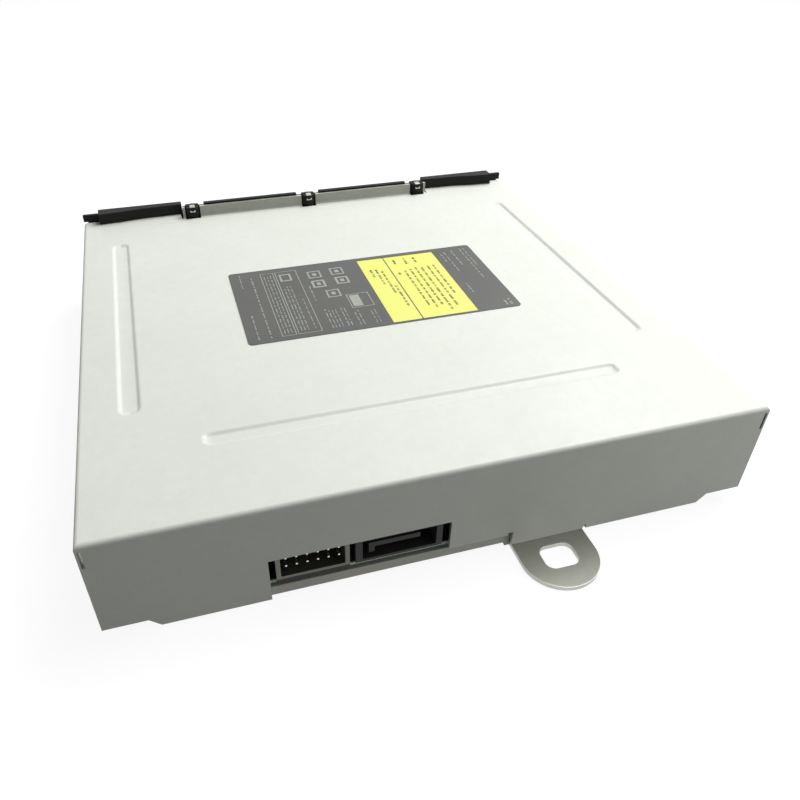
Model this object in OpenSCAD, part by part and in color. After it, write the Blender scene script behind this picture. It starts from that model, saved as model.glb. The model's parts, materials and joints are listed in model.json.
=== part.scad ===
// Slot-loading optical disc drive of a games console, without its disc.
// X runs left to right along the connector wall, Y from that wall (rear) to the disc slot (front).
// The origin is the middle of the body on the plane that the pressed underside rests on.

/* [Body] */
// Width of the body
body_w = 132; // [131.5:0.5:140]
// Depth of the body from the connector wall to the slot face
body_d = 132; // [131.5:0.5:138]
// Height of the cover's top face over the resting plane
body_h = 24.6; // [24.6:0.1:30]
// Thickness of the cover's sheet
cover_t = 0.8; // [0.6:0.1:1]
// Outside radius of the cover's bends
bend_r = 0.9; // [0.9:0.1:2]
// Thickness of the chassis sheet
base_t = 1; // [0.8:0.1:1.2]
// Depth of the pressed pad under the chassis
pad_depth = 1; // [0.8:0.1:1.2]
// Width and depth of the pressed pad
pad_size = 104; // [96:1:110]
// Height of the chassis side walls over the rim
side_wall_h = 12; // [8:0.5:18]
// Height that the cover's rear corners are cut up
corner_lift = 2.1; // [1:0.1:3]
// Length of the cut-up rear corners
corner_cut = 8; // [5:0.5:10]

/* [Pressed grooves] */
// Depth of the grooves in the cover
groove_depth = 0.5; // [0.2:0.1:0.7]
// Width of the two side grooves
side_groove_w = 4.2; // [3:0.1:6]
// Length of the side grooves
side_groove_l = 80; // [60:1:90]
// Middle of the side grooves along the depth
side_groove_y = 6.8; // [-5:0.1:10]
// Distance of the side grooves from the side of the body
side_groove_inset = 9.9; // [7:0.1:14]
// Width of the rear groove
rear_groove_w = 3.7; // [3:0.1:6]
// Length of the rear groove
rear_groove_l = 87.6; // [60:1:95]
// Distance of the rear groove from the connector wall
rear_groove_inset = 21.1; // [16:0.1:26]

/* [Connector window] */
// Left edge of the window in the rear wall
window_x0 = -35.9; // [-40:0.1:-35.5]
// Right edge of the window
window_x1 = -0.85; // [-1.5:0.05:4]
// Height of the window's top edge over the resting plane
window_top = 11.5; // [11:0.1:14]
// Height of the wall's lower edge between the window and the tab
low_edge = 4.1; // [2:0.1:4.4]
// Height of the chassis strip behind the window
strip_h = 3.3; // [2.5:0.1:3.4]
// Set-back of that strip behind the outside of the rear wall
strip_back = 1; // [0.9:0.1:2]

/* [Mounting tab] */
// Middle of the tab across the body
tab_x = 20.75; // [18:0.25:26]
// Width of the tab
tab_w = 16; // [12:0.5:18]
// Reach of the tab behind the rear wall
tab_reach = 13.2; // [12:0.1:20]
// Width of the slot in the tab
tab_slot_w = 5.8; // [5.2:0.1:6.4]
// Length of the slot in the tab
tab_slot_l = 7.1; // [6.5:0.1:8]

/* [Label] */
// Width of the label
label_w = 66.2; // [50:0.2:80]
// Depth of the label
label_d = 35.2; // [25:0.2:45]
// Middle of the label across the body
label_x = 3.1; // [-6:0.1:6]
// Middle of the label along the depth
label_y = 2.6; // [-6:0.1:6]
// Width of the yellow field
field_w = 21.1; // [15:0.1:28]
// Depth of the yellow field
field_d = 32.8; // [20:0.1:33]

/* [Slot and bezel] */
// Height of the disc's middle plane over the resting plane
disc_z = 15.5; // [15.3:0.1:16]
// Width of the bezel's solid ends beside the slot
slot_post = 4.75; // [4.5:0.05:5.2]
// Height of the slot in the bezel
slot_h = 5; // [4.8:0.1:6]
// Thickness of the bezel plate
bezel_t = 4.2; // [3.5:0.1:5]
// Height of the wings over the cover
wing_h = 3; // [2:0.1:4]
// Depth of a wing at its outer end
wing_depth_out = 4; // [3:0.1:5]
// Depth of a wing at its inner end
wing_depth_in = 2.4; // [2:0.1:3]
// Distance between the three clips
clip_pitch = 35.1; // [30:0.1:38]
// Middle clip across the body
clip_x = 0.3; // [-2:0.1:3]
// Width of a clip
clip_w = 4.4; // [3:0.1:6]
// Distance of the cover's turned-up flange from the slot face
flange_back = 5.2; // [4.4:0.1:6]

/* [Main board and sockets] */
// Height of the board's underside over the resting plane
board_z = 3.6; // [3.5:0.1:4.5]
// Thickness of the board
board_t = 1.2; // [0.8:0.1:1.6]
// Width of the power header
power_w = 14; // [13:0.1:16]
// Height of the power header
power_h = 8; // [7.4:0.1:9]
// Distance between the header's pins
pin_pitch = 2; // [1.8:0.1:2.2]
// Side of a square pin
pin_t = 0.5; // [0.4:0.05:0.64]
// Width of the data socket
data_w = 17.4; // [16.5:0.1:18]
// Height of the data socket
data_h = 6; // [5.5:0.1:6.6]
// Width of the data socket's tongue
tongue_w = 10.3; // [9.5:0.1:10.8]

/* [Loader] */
// Distance of the roller's axis from the slot face
roller_back = 9; // [8.8:0.1:9.4]
// Height of the roller's axis over the resting plane
roller_z = 11.6; // [11.4:0.1:11.7]
// Radius of a roller at its outer end
roller_r = 3.2; // [2.8:0.1:3.3]
// Radius of a roller at its inner end
roller_inner_r = 2.5; // [2:0.1:2.8]
// Diameter of the roller's steel shaft
roller_shaft_d = 2.5; // [2:0.1:2.8]
// Module of the gear teeth
gear_module = 0.5; // [0.46:0.01:0.5]
// Travel of the cam slider
slider_travel = 12; // [8:0.5:12]
// Diameter of the loading motor
motor_d = 8.4; // [7:0.1:8.6]
// Length of the loading motor
motor_l = 18; // [14:0.5:24]

/* [Traverse and pickup] */
// Distance of the spindle from the slot face
spindle_back = 68; // [67:0.5:69]
// Height that the spindle is lifted from idle to play
spindle_lift = 3.2; // [2.6:0.1:3.2]
// Diameter of the turntable
turntable_d = 26; // [22:0.5:27]
// Diameter of the guide rods
rod_d = 2.5; // [2:0.1:3]
// Distance between the guide rods
rod_gap = 26; // [25:0.5:27]
// Radius of the objective lens's place nearest the spindle
lens_inner = 24; // [24:0.2:25]
// Travel of the pickup
sled_travel = 34; // [28:0.5:34]
// Running clearance of shafts in their bores, on the radius
run_gap = 0.06; // [0.03:0.01:0.1]

/* [Hidden] */
$fn = 48;

eps = 0.01;
seam = 0.1;                              // gap between sheets and mouldings that meet
face = 0.05;                             // gap between flat faces that almost touch
rear = -body_d / 2;
front = body_d / 2;
side = body_w / 2;
rim_z = pad_depth;                       // underside of the chassis rim
rim_top = rim_z + base_t;
cover_edge = base_t + face;              // lower edge of the cover's walls
cover_under = body_h - cover_t;
wall_in = side - cover_t - seam;         // outside of the chassis side walls
room_x = wall_in - base_t;               // half width of the free room inside
pad_half = pad_size / 2;
tab_half = tab_w / 2;
bend_in = max(bend_r - cover_t, 0.05);     // inside radius of the cover's bends
tab_y = rear - tab_reach + tab_half;     // middle of the slot in the tab
hook_places = [rear + 28, front - 36];   // hooks of the chassis in the cover's sides
hook_l = 6.4;
slot_w = body_w - 2 * slot_post;
rear_groove_x = 0.4;

// Loader positions, from the slot face and the roller
roller_y = front - roller_back;
z_pinion = 8;
z_first = 24;
z_first_small = 10;
z_second = 20;
z_roller = 18;
tooth_gap = 0.15;                        // added to each centre distance
function pitch_r(z) = gear_module * z / 2;
function tip_r(z) = pitch_r(z) + 0.8 * gear_module;
function root_r(z) = pitch_r(z) - 1.1 * gear_module;
function gear_pair(za, zb) = pitch_r(za) + pitch_r(zb) + tooth_gap;
drop_gap = 0.3;                          // looser mesh where the roller drops away
second_z = roller_z + 0.3;
second_y = roller_y - sqrt(pow(gear_pair(z_second, z_roller) + drop_gap, 2) - pow(roller_z - second_z, 2));
first_z = 11.5;
first_y = second_y - sqrt(pow(gear_pair(z_first_small, z_second), 2) - pow(first_z - second_z, 2));
motor_z = 9.8;
motor_y = first_y - sqrt(pow(gear_pair(z_pinion, z_first), 2) - pow(first_z - motor_z, 2));

// Phase of gear A so that its teeth sit in the gaps of gear B, which lies in direction a
function mesh_phase(za, zb, a, phase_b) = a + (180 - zb * (phase_b - a - 180)) / za;
dir_first_second = atan2(second_z - first_z, second_y - first_y);
dir_roller_second = atan2(second_z - roller_z, second_y - roller_y);
dir_motor_first = atan2(first_z - motor_z, first_y - motor_y);
phase_second = 0;
phase_small = mesh_phase(z_first_small, z_second, dir_first_second, phase_second);
phase_roller = mesh_phase(z_roller, z_second, dir_roller_second, phase_second);
phase_first = 0;
phase_pinion = mesh_phase(z_pinion, z_first, dir_motor_first, phase_first);

// Columns of the gear train, from the chassis wall inwards
layer = 1.1;                             // width of a gear
outer_x = -room_x + 0.2;                 // outer face of the first gear layer
inner_x = outer_x + layer + 0.2;         // outer face of the second layer
rail_x = inner_x + layer + 0.2;          // outer face of the left rail
rail_t = 0.8;
slider_x = rail_x + rail_t + 0.3;        // outer face of the cam slider
slider_t = 2;
arm_x = slider_x + slider_t + 0.3;       // outer face of the left bracket arm
arm_t = 1;
roller_x0 = arm_x + arm_t + 0.3;         // outer end of the left roller
roller_split = 2.5;
pivot_y = front - 22;
pivot_z = 3.6;
pivot_d = 2;
lug_t = 1.5;
frame_top = cover_under - 3.8;           // top of the loader frame's rails
rail_back = front - 94;                  // rear end of the rails
rail_front = roller_y - 4;
ledge_top = rim_top + 0.8;
slider_z = ledge_top + 0.2;
pin_hole = 0.8;                          // radius of the first gear's bore
screw_x = side - 11.5;                   // chassis screws, from the middle
boss_x = 1 - rail_x;                     // clamp plate's screws, from the middle

// Clamp plate and clamper
plate_z = frame_top + face;
plate_t = 0.8;
plate_top = plate_z + plate_t;
spindle_y = front - spindle_back;
clamp_hole_r = 14;
clamper_low = disc_z + 1.1;
clamp_half = 2.6 - rail_x;
clamp_rear = rail_back - 4;
clamp_mid = front - 34;
clamp_front = front - 23;
tongue_half = 35;                        // half width of the plate's front part

// Trigger lever
lever_x = rail_x + 17.3;
lever_y = spindle_y - 44;
lever_l = 13.3;
lever_t = 1.5;
lever_idle = -14.3;
rivet_d = 1.7;

// Traverse, built level in its own frame with the spindle at the origin and X outwards
travel_turn = -45;                       // direction of the pickup's travel, seen from above
pivot_out = 58;                          // spindle to the traverse's pivot
axle_z = 6.8;
lift_angle = asin(spindle_lift / pivot_out);
frame_z = 5.8;
frame_t = 2;
frame_in = -16;
frame_half = 19;
bay_in = 14.2;
sled_in = lens_inner - 8.8;
sled_l = 12.8;
sled_stop = 0.6;                         // free way behind the sled at its outer end
bay_out = sled_in + sled_l + sled_travel + sled_stop;
seat_l = 3.2;                            // length of a rod's seat
frame_out = bay_out + seat_l + 0.2;
rod_y = rod_gap / 2;
rod_z = 9.2;
screw_y = 16.9;
screw_z = 9.6;
screw_d = 2.4;
rotor_r = 12.5;
play_z = disc_z - 0.3;                   // top of the turntable in play
lug_y = frame_half + 1.8;                // dampers, from the middle of the traverse
lift_pin_z = 8;
lift_pin_d = 2;
pin_reach = 6.6;
cam_x = -31;
cam_t = 2;
// The lift pin, at the traverse's left inner corner, in the body's frame and in play
corner_x = (frame_in - frame_half) * cos(45);
corner_y = (-frame_half - frame_in) * cos(45) + spindle_y;
pin_drop = (pivot_out - frame_in) * sin(lift_angle);

// Main board: its slanted edge runs beside the traverse
board_left = -room_x + 3;
board_rear = rear + 1.5;
board_front = rail_back;
board_top = board_z + board_t + face;
traverse_room = 35;                      // from the spindle to the slanted edge, along X
board_nose = 8.5;                        // length of the board's right edge
board_right = spindle_y - traverse_room - board_rear - board_nose;
stand_offs = [[board_left + 9.1, rear + 8], [board_left + 9.1, board_front - 6], [2, rear + 8]];

module along_x(x0, x1) translate([x0, 0, 0]) rotate([90, 0, 90]) linear_extrude(x1 - x0) children();
module along_y(y0, y1) translate([0, y1, 0]) rotate([90, 0, 0]) linear_extrude(y1 - y0) children();
module block(x0, x1, y0, y1, z0, z1) translate([x0, y0, z0]) cube([x1 - x0, y1 - y0, z1 - z0]);
module both_sides() {
    children();
    mirror([1, 0, 0]) children();
}

// A flat obround of length l along X
module obround(l, w) {
    square([l - w, w], center = true);
    for (s = [-1, 1]) translate([s * (l - w) / 2, 0]) circle(d = w);
}

// A square-cornered strip whose upper corners are rounded
module round_topped(w, h, r) {
    translate([-w / 2, 0]) square([w, h - r]);
    translate([-w / 2 + r, 0]) square([w - 2 * r, h]);
    for (s = [-1, 1]) translate([s * (w / 2 - r), h - r]) circle(r);
}

// Toothed outline
module gear_outline(z, phase) {
    step = 360 / z;
    polygon([for (i = [0:z - 1], k = [[-0.25, 0], [-0.09, 1], [0.09, 1], [0.25, 0]])
        let (a = phase + step * (i + k[0]), r = k[1] == 1 ? tip_r(z) : root_r(z)) [r * cos(a), r * sin(a)]]);
}

module gear_x(x0, x1, y, z, teeth, phase) {
    along_x(x0, x1) translate([y, z]) gear_outline(teeth, phase);
}

module rod_x(x0, x1, y, z, d) translate([x0, y, z]) rotate([0, 90, 0]) cylinder(d = d, h = x1 - x0);

// Places a level traverse piece in the body, lowered to its idle position
module on_traverse() {
    translate([0, spindle_y, 0]) rotate([0, 0, travel_turn])
        translate([pivot_out, 0, axle_z]) rotate([0, -lift_angle, 0]) translate([-pivot_out, 0, -axle_z])
            children();
}

// Rear wall outline of everything cut from the cover's lower edge
module rear_cuts() {
    low = cover_edge - 1;
    lifted = base_t + corner_lift;
    cut_in = side - corner_cut;
    for (s = [-1, 1]) scale([s, 1]) polygon([[side + 1, low], [side + 1, lifted], [cut_in, lifted],
        [cut_in - 2, cover_edge], [cut_in - 2, low]]);
    translate([window_x0, low]) square([window_x1 - window_x0, window_top - low]);
    translate([window_x0, low]) square([tab_x - tab_w / 2 - window_x0, low_edge - low]);
    translate([tab_x - tab_w / 2 - 1.2, low]) square([1.2, base_t + 3.7 - low]);
    translate([tab_x + tab_w / 2, low]) square([0.7, base_t + 1.1 - low]);
}

// Plan of the three grooves, widened by grow
module groove_lines(grow) {
    for (s = [-1, 1]) translate([s * (side - side_groove_inset), side_groove_y]) rotate(90)
        obround(side_groove_l + 2 * grow, side_groove_w + 2 * grow);
    translate([rear_groove_x, rear + rear_groove_inset])
        obround(rear_groove_l + 2 * grow, rear_groove_w + 2 * grow);
}

module clip_places() for (i = [-1:1]) translate([clip_x + i * clip_pitch, 0, 0]) children();

flange_y = front - flange_back;          // rear face of the turned-up flange
flange_top = body_h + wing_h;
wing_in = clip_pitch + clip_w / 2 + 0.7; // wings start this far from the middle clip

module top_cover() color("gainsboro") difference() {
    union() {
        difference() {
            intersection() {
                along_y(rear, front) round_topped(body_w, body_h, bend_r);
                along_x(-side, side) round_topped(body_d, body_h, bend_r);
            }
            intersection() {
                along_y(rear + cover_t, front + 1)
                    round_topped(body_w - 2 * cover_t, cover_under, bend_in);
                along_x(-side, side) translate([cover_t, 0])
                    round_topped(body_d + cover_t, cover_under, bend_in);
            }
        }
        translate([0, 0, cover_under - groove_depth]) linear_extrude(groove_depth + eps)
            groove_lines(cover_t * 0.8);
        block(clip_x - wing_in, clip_x + wing_in, flange_y, flange_y + cover_t, cover_under, flange_top);
    }
    translate([0, 0, -1]) linear_extrude(cover_edge + 1) square([body_w + 2, body_d + 2], center = true);
    along_y(rear - 1, rear + cover_t + eps) rear_cuts();
    for (s = [-1, 1]) translate([s * side, rear, 0])
        cube([2 * cover_t + 0.4, 2 * corner_cut, 2 * (base_t + corner_lift)], center = true);
    translate([0, 0, body_h - groove_depth]) linear_extrude(1) groove_lines(0);
    // Strip of the top in front of the flange, and its edge under the wings
    edge_low = cover_under - bend_r;
    block(clip_x - wing_in, clip_x + wing_in, flange_y + cover_t, front + 1, edge_low, body_h + 1);
    block(-side - 1, side + 1, front - 1.6, front + 1, edge_low, body_h + 1);
    clip_places() translate([-clip_w / 2, flange_y - 1.4, cover_under - 1]) cube([clip_w, 4, wing_h + 4]);
    // Bend reliefs at the rear corners, with a slit beside each
    for (s = [-1, 1]) translate([s * (side - cover_t / 2), rear + cover_t + 0.25, body_h - 4.2])
        cube([2 * cover_t, 0.5, 5], center = true);
    for (s = [-1, 1]) translate([s * (side - 0.65), rear + cover_t / 2, body_h - 3.3])
        cube([0.5, cover_t + 0.2, 4], center = true);
    // Windows for the chassis hooks
    for (s = [-1, 1], y = hook_places) translate([s * side, y, rim_top + 4])
        cube([3, hook_l + 0.6, 2.4], center = true);
}

module chassis_plan(inset) {
    difference() {
        square([2 * wall_in - 2 * inset, body_d - 2 * strip_back - 2 * inset], center = true);
        for (s = [-1, 1]) translate([s * side, rear]) rotate(45) square([14, 14], center = true);
    }
}

module bottom_chassis() color("silver") difference() {
    tab_x0 = tab_x - tab_half;
    tab_x1 = tab_x + tab_half;
    union() {
        difference() {
            union() {
                translate([0, 0, rim_z]) linear_extrude(base_t) chassis_plan(0);
                linear_extrude(rim_top) square(pad_size, center = true);
                block(tab_x0 - 1, tab_x1 + 1, rear + strip_back, -pad_half + eps, 0, rim_top);
            }
            translate([0, 0, base_t]) linear_extrude(rim_top) square(pad_size - 2 * base_t, center = true);
            block(tab_x0, tab_x1, rear - 1, -pad_half + base_t + eps, base_t, rim_top + 1);
        }
        // Mounting tab
        block(tab_x0, tab_x1, tab_y, rear + 4, 0, base_t);
        translate([tab_x, tab_y, 0]) cylinder(d = tab_w, h = base_t, $fn = 96);
        // Side walls with their hooks, and the strip along the rear
        both_sides() {
            block(room_x, wall_in, rear + 12, front - bezel_t - 1, rim_z, rim_top + side_wall_h);
            for (y = hook_places)
                block(room_x, side - 0.2, y - hook_l / 2, y + hook_l / 2, rim_top + 3, rim_top + 5);
        }
        difference() {
            block(-side + 13, side - 13, rear + strip_back, rear + strip_back + base_t, rim_z, strip_h);
            block(tab_x0, tab_x1, rear, rear + 3, base_t, strip_h + 1);
        }
        // Board stand-offs
        for (p = stand_offs) translate([p[0], p[1], base_t / 2])
            cylinder(d = 5, h = board_z - base_t / 2 - face);
        // Lugs that hold the traverse's dampers
        translate([0, spindle_y, 0]) rotate([0, 0, travel_turn]) for (s = [-1, 1])
            translate([pivot_out - 3.6, s * lug_y - 0.5, base_t / 2]) cube([7.2, 1, 9.5]);
    }
    translate([tab_x, tab_y, -1]) linear_extrude(base_t + 2) rounded_field(tab_slot_l, tab_slot_w, 1.9);
    translate([0, spindle_y, 0]) rotate([0, 0, travel_turn]) translate([pivot_out, -30, axle_z])
        rotate([-90, 0, 0]) cylinder(d = 5.5, h = 60);
    screw_places() translate([0, 0, -1]) cylinder(d = 2.3, h = 9);
}

module screw_places() {
    for (s = [-1, 1], y = [front - 12, spindle_y]) translate([s * screw_x, y, 0]) children();
}

module chassis_screws() color("dimgray") screw_places() difference() {
    union() {
        translate([0, 0, rim_z - 0.8]) cylinder(d = 3.6, h = 0.8 - face);
        translate([0, 0, rim_z - 0.8]) cylinder(d = 2, h = base_t + 2.3);
    }
    for (a = [0, 90]) translate([0, 0, rim_z - 0.8]) rotate(a) cube([2, 0.5, 0.8], center = true);
}

label_z = body_h + 0.01;
label_t = 0.12;
label_left = label_x - label_w / 2;
label_right = label_x + label_w / 2;
print_z = label_z + label_t + 0.01;
print_t = 0.03;
field_right = label_right - 11.2;
field_left = field_right - field_w;

module rounded_field(w, d, r) {
    square([w - 2 * r, d], center = true);
    square([w, d - 2 * r], center = true);
    for (sx = [-1, 1], sy = [-1, 1]) translate([sx * (w / 2 - r), sy * (d / 2 - r)]) circle(r);
}

// A printed bar of width w and length l, with its middle at x
module bar(x, w, l) translate([x, 0]) square([w, l], center = true);

module rating_label() color("dimgray") translate([label_x, label_y, label_z]) linear_extrude(label_t)
    rounded_field(label_w, label_d, 1);

// Yellow field, with a dark line across it
module label_field() color("yellow") translate([0, label_y - 0.6, print_z]) linear_extrude(print_t)
    difference() {
        bar((field_left + field_right) / 2, field_w, field_d);
        bar(field_left + 7.2, 0.3, field_d + 1);
    }

// Pale bars and squares that stand for the print
module label_marks() color("lightgray") translate([0, label_y, print_z]) linear_extrude(print_t) {
    for (i = [0:3]) bar(label_left + 5.4 + i * 2.6, 0.7, label_d - 9);
    for (i = [-1:1]) translate([0, i * 8.4]) bar(field_left - 6.3, 4.6, 4.6);
    for (i = [0:1]) bar(label_right - 7 + i * 3, 0.9, label_d - 12);
}

module bezel_top() {
    clip_low = body_h + 0.1;
    // Rim behind the flange, with gaps at the clips
    rim_half = clip_pitch / 2 - clip_w / 2 - 1.3;
    rim_y = flange_y + cover_t + seam;
    for (s = [-1, 1]) translate([clip_x + s * clip_pitch / 2, 0, 0])
        block(-rim_half, rim_half, rim_y, flange_y + 2.4, body_h - 3, flange_top + 0.5);
    block(clip_x - wing_in + 0.2, clip_x + wing_in - 0.2, rim_y, front, body_h - 3, flange_top - 1.4);
    // Clips through the notches
    clip_places() {
        arm = clip_w / 2 - 0.2;
        block(-arm, arm, flange_y + 0.6, flange_y + 2, body_h - 0.6, flange_top + 0.2);
        translate([0, flange_y + 0.8, clip_low]) cylinder(r = arm, h = wing_h);
    }
    // Wings over the cover's front corners
    for (s = [-1, 1]) {
        x_in = clip_x + s * wing_in;
        x_out = s * (side - 4.5);
        back_in = front - wing_depth_in;
        back_out = front - wing_depth_out;
        translate([0, 0, clip_low]) linear_extrude(wing_h) polygon([[x_in, back_in],
            [(x_in + x_out) / 2, back_in - 0.35], [x_out - s * 6, back_out + 0.4], [x_out, back_out],
            [x_out, front], [x_in, front]]);
        translate([0, 0, clip_low]) linear_extrude(wing_h - 1) polygon([[x_out - s, front - 1.2],
            [s * side, front - 1.1], [s * side, front], [x_out - s, front]]);
    }
    block(-side + 1.2, side - 1.2, front - 1.4, front, body_h - 3, clip_low + 0.5);
}

slot_low = disc_z - slot_h / 2;
bezel_back = front - bezel_t;

module front_bezel() color("#1c1c1c") difference() {
    union() {
        block(-wall_in + 0.2, wall_in - 0.2, bezel_back, front, rim_top + face, cover_under - seam);
        bezel_top();
        // Funnel lips above and below the slot
        for (s = [-1, 1]) block(-slot_w / 2, slot_w / 2, front - 1.5, front + 0.01,
            disc_z + s * (slot_h / 2 + 0.9) - 0.5, disc_z + s * (slot_h / 2 + 0.9) + 0.5);
    }
    block(-slot_w / 2, slot_w / 2, bezel_back - 1, front + 1, slot_low, disc_z + slot_h / 2);
    // Room for the roller's gear
    block(-side, -slot_w / 2 - 0.2, bezel_back - 1, bezel_back + 1.6, rim_top + 2, disc_z + slot_h / 2);
    // Pockets that lighten the moulding
    for (i = [-2:2]) translate([i * (slot_w / 5 - 0.5), 0, 0])
        block(-10, 10, bezel_back - 1, front - 1.8, rim_top + 1, slot_low - 2.6);
}

module slot_felt() color("black") {
    for (s = [-1, 1]) translate([0, 0, disc_z + s * (slot_h / 2 + 0.45)])
        block(-slot_w / 2, slot_w / 2, bezel_back - 0.7, bezel_back - face, -0.75, 0.75);
}

module board_plan() polygon([[board_left, board_rear], [board_right, board_rear],
    [board_right, board_rear + board_nose], [spindle_y - traverse_room - board_front + 2, board_front - 2],
    [spindle_y - traverse_room - board_front - 3, board_front], [board_left, board_front]]);

module main_board() color("darkgreen") difference() {
    translate([0, 0, board_z]) linear_extrude(board_t) board_plan();
    for (p = stand_offs) translate([p[0], p[1], 0]) cylinder(d = 2.4, h = 9);
}

socket_y = rear + cover_t + seam;        // mouths of both sockets
power_x = window_x0 + 1.3 + power_w / 2;
power_z = board_z + 0.6;
data_x = window_x1 - 1.25 - data_w / 2;
header_y = board_rear - face;            // the header's lower part ends before the board's edge
tongue_x = data_x - tongue_w / 2 - 0.8;

module power_header() color("lightgray") {
    difference() {
        block(power_x - power_w / 2, power_x + power_w / 2, socket_y, header_y, power_z, power_z + power_h);
        power_cavity();
    }
    difference() {
        block(power_x - power_w / 2, power_x + power_w / 2, header_y - eps, socket_y + 9, board_top,
            power_z + power_h);
        power_cavity();
        power_pins(0.02);
    }
}

module power_cavity() block(power_x - power_w / 2 + 0.9, power_x + power_w / 2 - 0.9,
    socket_y - 1, socket_y + 6, power_z + 1.4, power_z + power_h - 0.7);

// Two rows of six pins, bent down to the board behind the header
module power_pins(grow) {
    p = pin_t + 2 * grow;
    for (i = [0:5], row = [0, 1]) {
        x = power_x + (i - 2.5) * pin_pitch - p / 2;
        z = power_z + 3.9 + row * pin_pitch - p / 2;
        y_bend = socket_y + 10 + row * 2;
        translate([x, socket_y + 0.2, z]) cube([p, y_bend - socket_y - 0.2 + p / 2, p]);
        translate([x, y_bend - p / 2, board_top]) cube([p, p, z - board_top + eps]);
    }
}

module header_pins() color("silver") power_pins(0);

module sata_socket() color("#202022") {
    y1 = socket_y + 8;
    difference() {
        block(data_x - data_w / 2, data_x + data_w / 2, socket_y, y1, board_top, board_top + data_h);
        block(data_x - data_w / 2 + 1.4, data_x + data_w / 2 - 1.3, socket_y - 1, y1 - 2,
            board_top + 0.7, board_top + data_h - 0.6);
    }
    block(tongue_x, tongue_x + tongue_w, socket_y + 0.6, y1 - 2 + eps, board_top + 2.9, board_top + 4.1);
    block(tongue_x, tongue_x + 1.2, socket_y + 0.6, y1 - 2 + eps, board_top + 1.5, board_top + 3);
}

contact_pitch = 1.27;

module sata_contacts() color("gold") for (i = [0:6])
    translate([tongue_x + 1.9 + i * contact_pitch, socket_y + 1.2, board_top + 2.65]) cube([0.5, 4.7, 0.24]);

// Chips, each given by its rear left corner and its size
module board_chips() color("#222222") {
    translate([board_left + 17.1, board_front - 15, board_top]) cube([14, 14, 1.2]);
    translate([board_left + 34.1, board_front - 14, board_top]) cube([9, 9, 1]);
    translate([board_left + 6.1, board_rear + 6.5, board_top]) cube([6, 5, 1.4]);
    translate([board_right - 12, board_rear + 4.5, board_top]) cube([6, 4, 1.1]);
    for (i = [0:3]) translate([board_left + 35.1 + i * 4, board_rear + 14.5, board_top]) cube([2, 1.2, 0.8]);
}

// Lies beside the board's slanted edge
flex_x = board_right - 26;
flex_y = spindle_y - traverse_room - flex_x - 17.5;

module flex_socket() color("ivory") translate([flex_x, flex_y, board_top]) rotate(travel_turn) difference() {
    translate([-9, 0, 0]) cube([15, 3.6, 1.6]);
    translate([-8.2, -1, 0.6]) cube([13.4, 3.6, 0.5]);
}

frame_low = rim_top + face;
lug_x = arm_x + arm_t + 0.25;            // inner face of the bracket's left arm, with its gap
ledge_front = front - bezel_t - 1.4;

// The four bosses that carry the clamp plate
module boss_places() {
    for (s = [-1, 1], y = [rail_back + 4, spindle_y + 16]) translate([s * boss_x, y, 0]) children();
}

// Plastic frame of the loader: ledges, rails, gear post, lugs and motor cradle
module loader_frame() color("#2a2b2e") difference() {
    union() {
        both_sides() block(rail_x, rail_x + rail_t, rail_back, rail_front, frame_low, frame_top);
        // The left ledge carries the slider, so the right one is a little narrower
        block(rail_x, arm_x, rail_back, ledge_front, frame_low, ledge_top);
        block(0.3 - arm_x, -rail_x, rail_back, ledge_front, frame_low, ledge_top);
        // Cross bars below the roller and in front of the bracket's pivot
        block(rail_x, -rail_x, ledge_front - 3, ledge_front, frame_low, ledge_top + 0.6);
        block(lug_x, -lug_x, pivot_y + 5.5, pivot_y + 9, frame_low, ledge_top);
        boss_places() translate([0, 0, frame_low]) cylinder(d = 3.2, h = frame_top - frame_low);
        // Bosses over the chassis screws, tied to the rails
        screw_places() translate([0, 0, frame_low]) cylinder(d = 5, h = 3);
        both_sides() block(rail_x, -screw_x, spindle_y - 1.2, spindle_y + 1.2, frame_low, ledge_top);
        // Post of the first gear
        rod_x(outer_x, rail_x + eps, first_y, first_z, 2 * (pin_hole - run_gap));
        // Lugs of the roller bracket and the bars in front of them
        both_sides() {
            block(lug_x, lug_x + lug_t, pivot_y - 2.4, pivot_y + 2.4, frame_low, pivot_z + 2.2);
            block(lug_x, lug_x + 2.25, pivot_y - 2.4, ledge_front, frame_low, ledge_top);
        }
        // Motor cradle
        block(roller_x0 + 1, roller_x0 + motor_l - 1, motor_y - motor_d / 2 - 1, motor_y + motor_d / 2 + 1,
            frame_low, motor_z - 1);
        block(arm_x, roller_x0 + 2, motor_y - 3, motor_y + 3, frame_low, ledge_top);
    }
    // Bores
    rod_x(arm_x, roller_x0 + motor_l + 3, motor_y, motor_z, motor_d + 0.2);
    rod_x(outer_x - 1, slider_x, motor_y, motor_z, 3);
    rod_x(rail_x - 1, slider_x, second_y, second_z, 3 + 2 * run_gap);
    rod_x(-side, side, pivot_y, pivot_z, pivot_d + 2 * run_gap);
    screw_places() cylinder(d = 2.1, h = rim_top + 2.6);
    boss_places() translate([0, 0, frame_top - 4.5]) cylinder(d = 1.7, h = 9);
}

// Plate with its front tongue and the ear of the trigger lever
module clamp_plan() difference() {
    union() {
        translate([-clamp_half, clamp_rear]) square([2 * clamp_half, clamp_mid - clamp_rear]);
        translate([-tongue_half, clamp_mid - 1]) square([2 * tongue_half, clamp_front - clamp_mid + 1]);
        translate([lever_x - 15, lever_y - 3]) square([22, clamp_rear - lever_y + 4]);
    }
    translate([0, spindle_y]) circle(clamp_hole_r, $fn = 96);
    boss_places() circle(d = 2);
    for (s = [-1, 1]) translate([s * (clamp_half - 25.9), spindle_y + 8]) square([24, 30], center = true);
    translate([lever_x, lever_y]) circle(d = rivet_d + 2 * run_gap);
    translate([18, spindle_y - 20]) circle(d = 8);
}

module clamp_plate() color("lightsteelblue") translate([0, 0, plate_z]) linear_extrude(plate_t) clamp_plan();

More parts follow.
